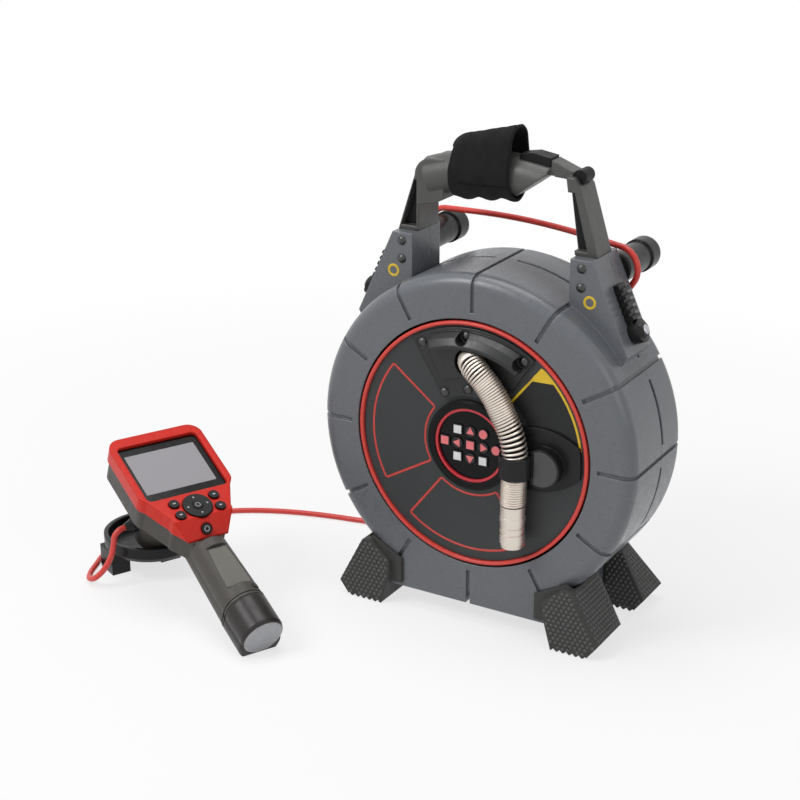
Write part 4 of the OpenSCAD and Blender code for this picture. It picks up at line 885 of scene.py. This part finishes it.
def seenWhite(tree):   # 1 for what the camera sees, straight or in gloss and glass
    path = tree.nodes.new("ShaderNodeLightPath")
    first = node(tree, "ShaderNodeMath", operation="MAXIMUM")
    tree.links.new(path.outputs["Is Camera Ray"], first.inputs[0])
    tree.links.new(path.outputs["Is Glossy Ray"], first.inputs[1])
    second = node(tree, "ShaderNodeMath", operation="MAXIMUM")
    tree.links.new(first.outputs[0], second.inputs[0])
    tree.links.new(path.outputs["Is Transmission Ray"], second.inputs[1])
    return second.outputs[0]


floorLook = bpy.data.materials.new("floorPaper")
floorLook.use_nodes = True
tree = floorLook.node_tree
tree.nodes.remove(tree.nodes["Principled BSDF"])
paper = node(tree, "ShaderNodeBsdfDiffuse", Color=(stageSet["floor"],) * 3 + (1,))
glow = node(tree, "ShaderNodeEmission", Color=(1, 1, 1, 1), Strength=1.0)
share = node(tree, "ShaderNodeMath", operation="MULTIPLY")
tree.links.new(seenWhite(tree), share.inputs[0])
where = node(tree, "ShaderNodeTexCoord")
away = node(tree, "ShaderNodeVectorMath", operation="LENGTH")
tree.links.new(where.outputs["Object"], away.inputs[0])
fade = spanOf(tree, away.outputs["Value"], stageSet["near"], stageSet["far"], stageSet["from"],
              stageSet["to"])
tree.links.new(fade, share.inputs[1])
mixed = node(tree, "ShaderNodeMixShader")
tree.links.new(share.outputs[0], mixed.inputs[0])
tree.links.new(paper.outputs[0], mixed.inputs[1])
tree.links.new(glow.outputs[0], mixed.inputs[2])
tree.links.new(mixed.outputs[0], tree.nodes["Material Output"].inputs[0])
floorMesh.materials.append(floorLook)

world = scene.world or bpy.data.worlds.new("studio")
scene.world = world
world.use_nodes = True
tree = world.node_tree
tree.nodes.clear()
out = tree.nodes.new("ShaderNodeOutputWorld")
lit = node(tree, "ShaderNodeBackground", Color=(1, 1, 1, 1), Strength=stageSet["world"])
white = node(tree, "ShaderNodeBackground", Color=(1, 1, 1, 1), Strength=1.0)
mixed = node(tree, "ShaderNodeMixShader")
tree.links.new(seenWhite(tree), mixed.inputs[0])
tree.links.new(lit.outputs[0], mixed.inputs[1])
tree.links.new(white.outputs[0], mixed.inputs[2])
tree.links.new(mixed.outputs[0], out.inputs[0])

lamps = {"keyLamp": {"place": (-0.9, -1.3, 1.7), "aim": (0.0, 0.0, 0.2), "size": 0.9, "power": 21},
         "topLamp": {"place": (-0.1, 0.1, 1.9), "aim": (0.1, 0.0, 0.2), "size": 1.0, "power": 13},
         "sideLamp": {"place": (1.6, -0.5, 0.9), "aim": (0.1, 0.0, 0.2), "size": 0.9, "power": 3.5}}
for name, lampSet in lamps.items():
    lamp = bpy.data.lights.new(name, "AREA")
    lamp.size, lamp.energy = lampSet["size"], lampSet["power"]
    made = bpy.data.objects.new(name, lamp)
    made.location = lampSet["place"]
    toAim = Vector(lampSet["aim"]) - Vector(lampSet["place"])
    made.rotation_euler = toAim.to_track_quat("-Z", "Y").to_euler()
    scene.collection.objects.link(made)
scene.view_settings.view_transform = "Standard"
print("studio lit")
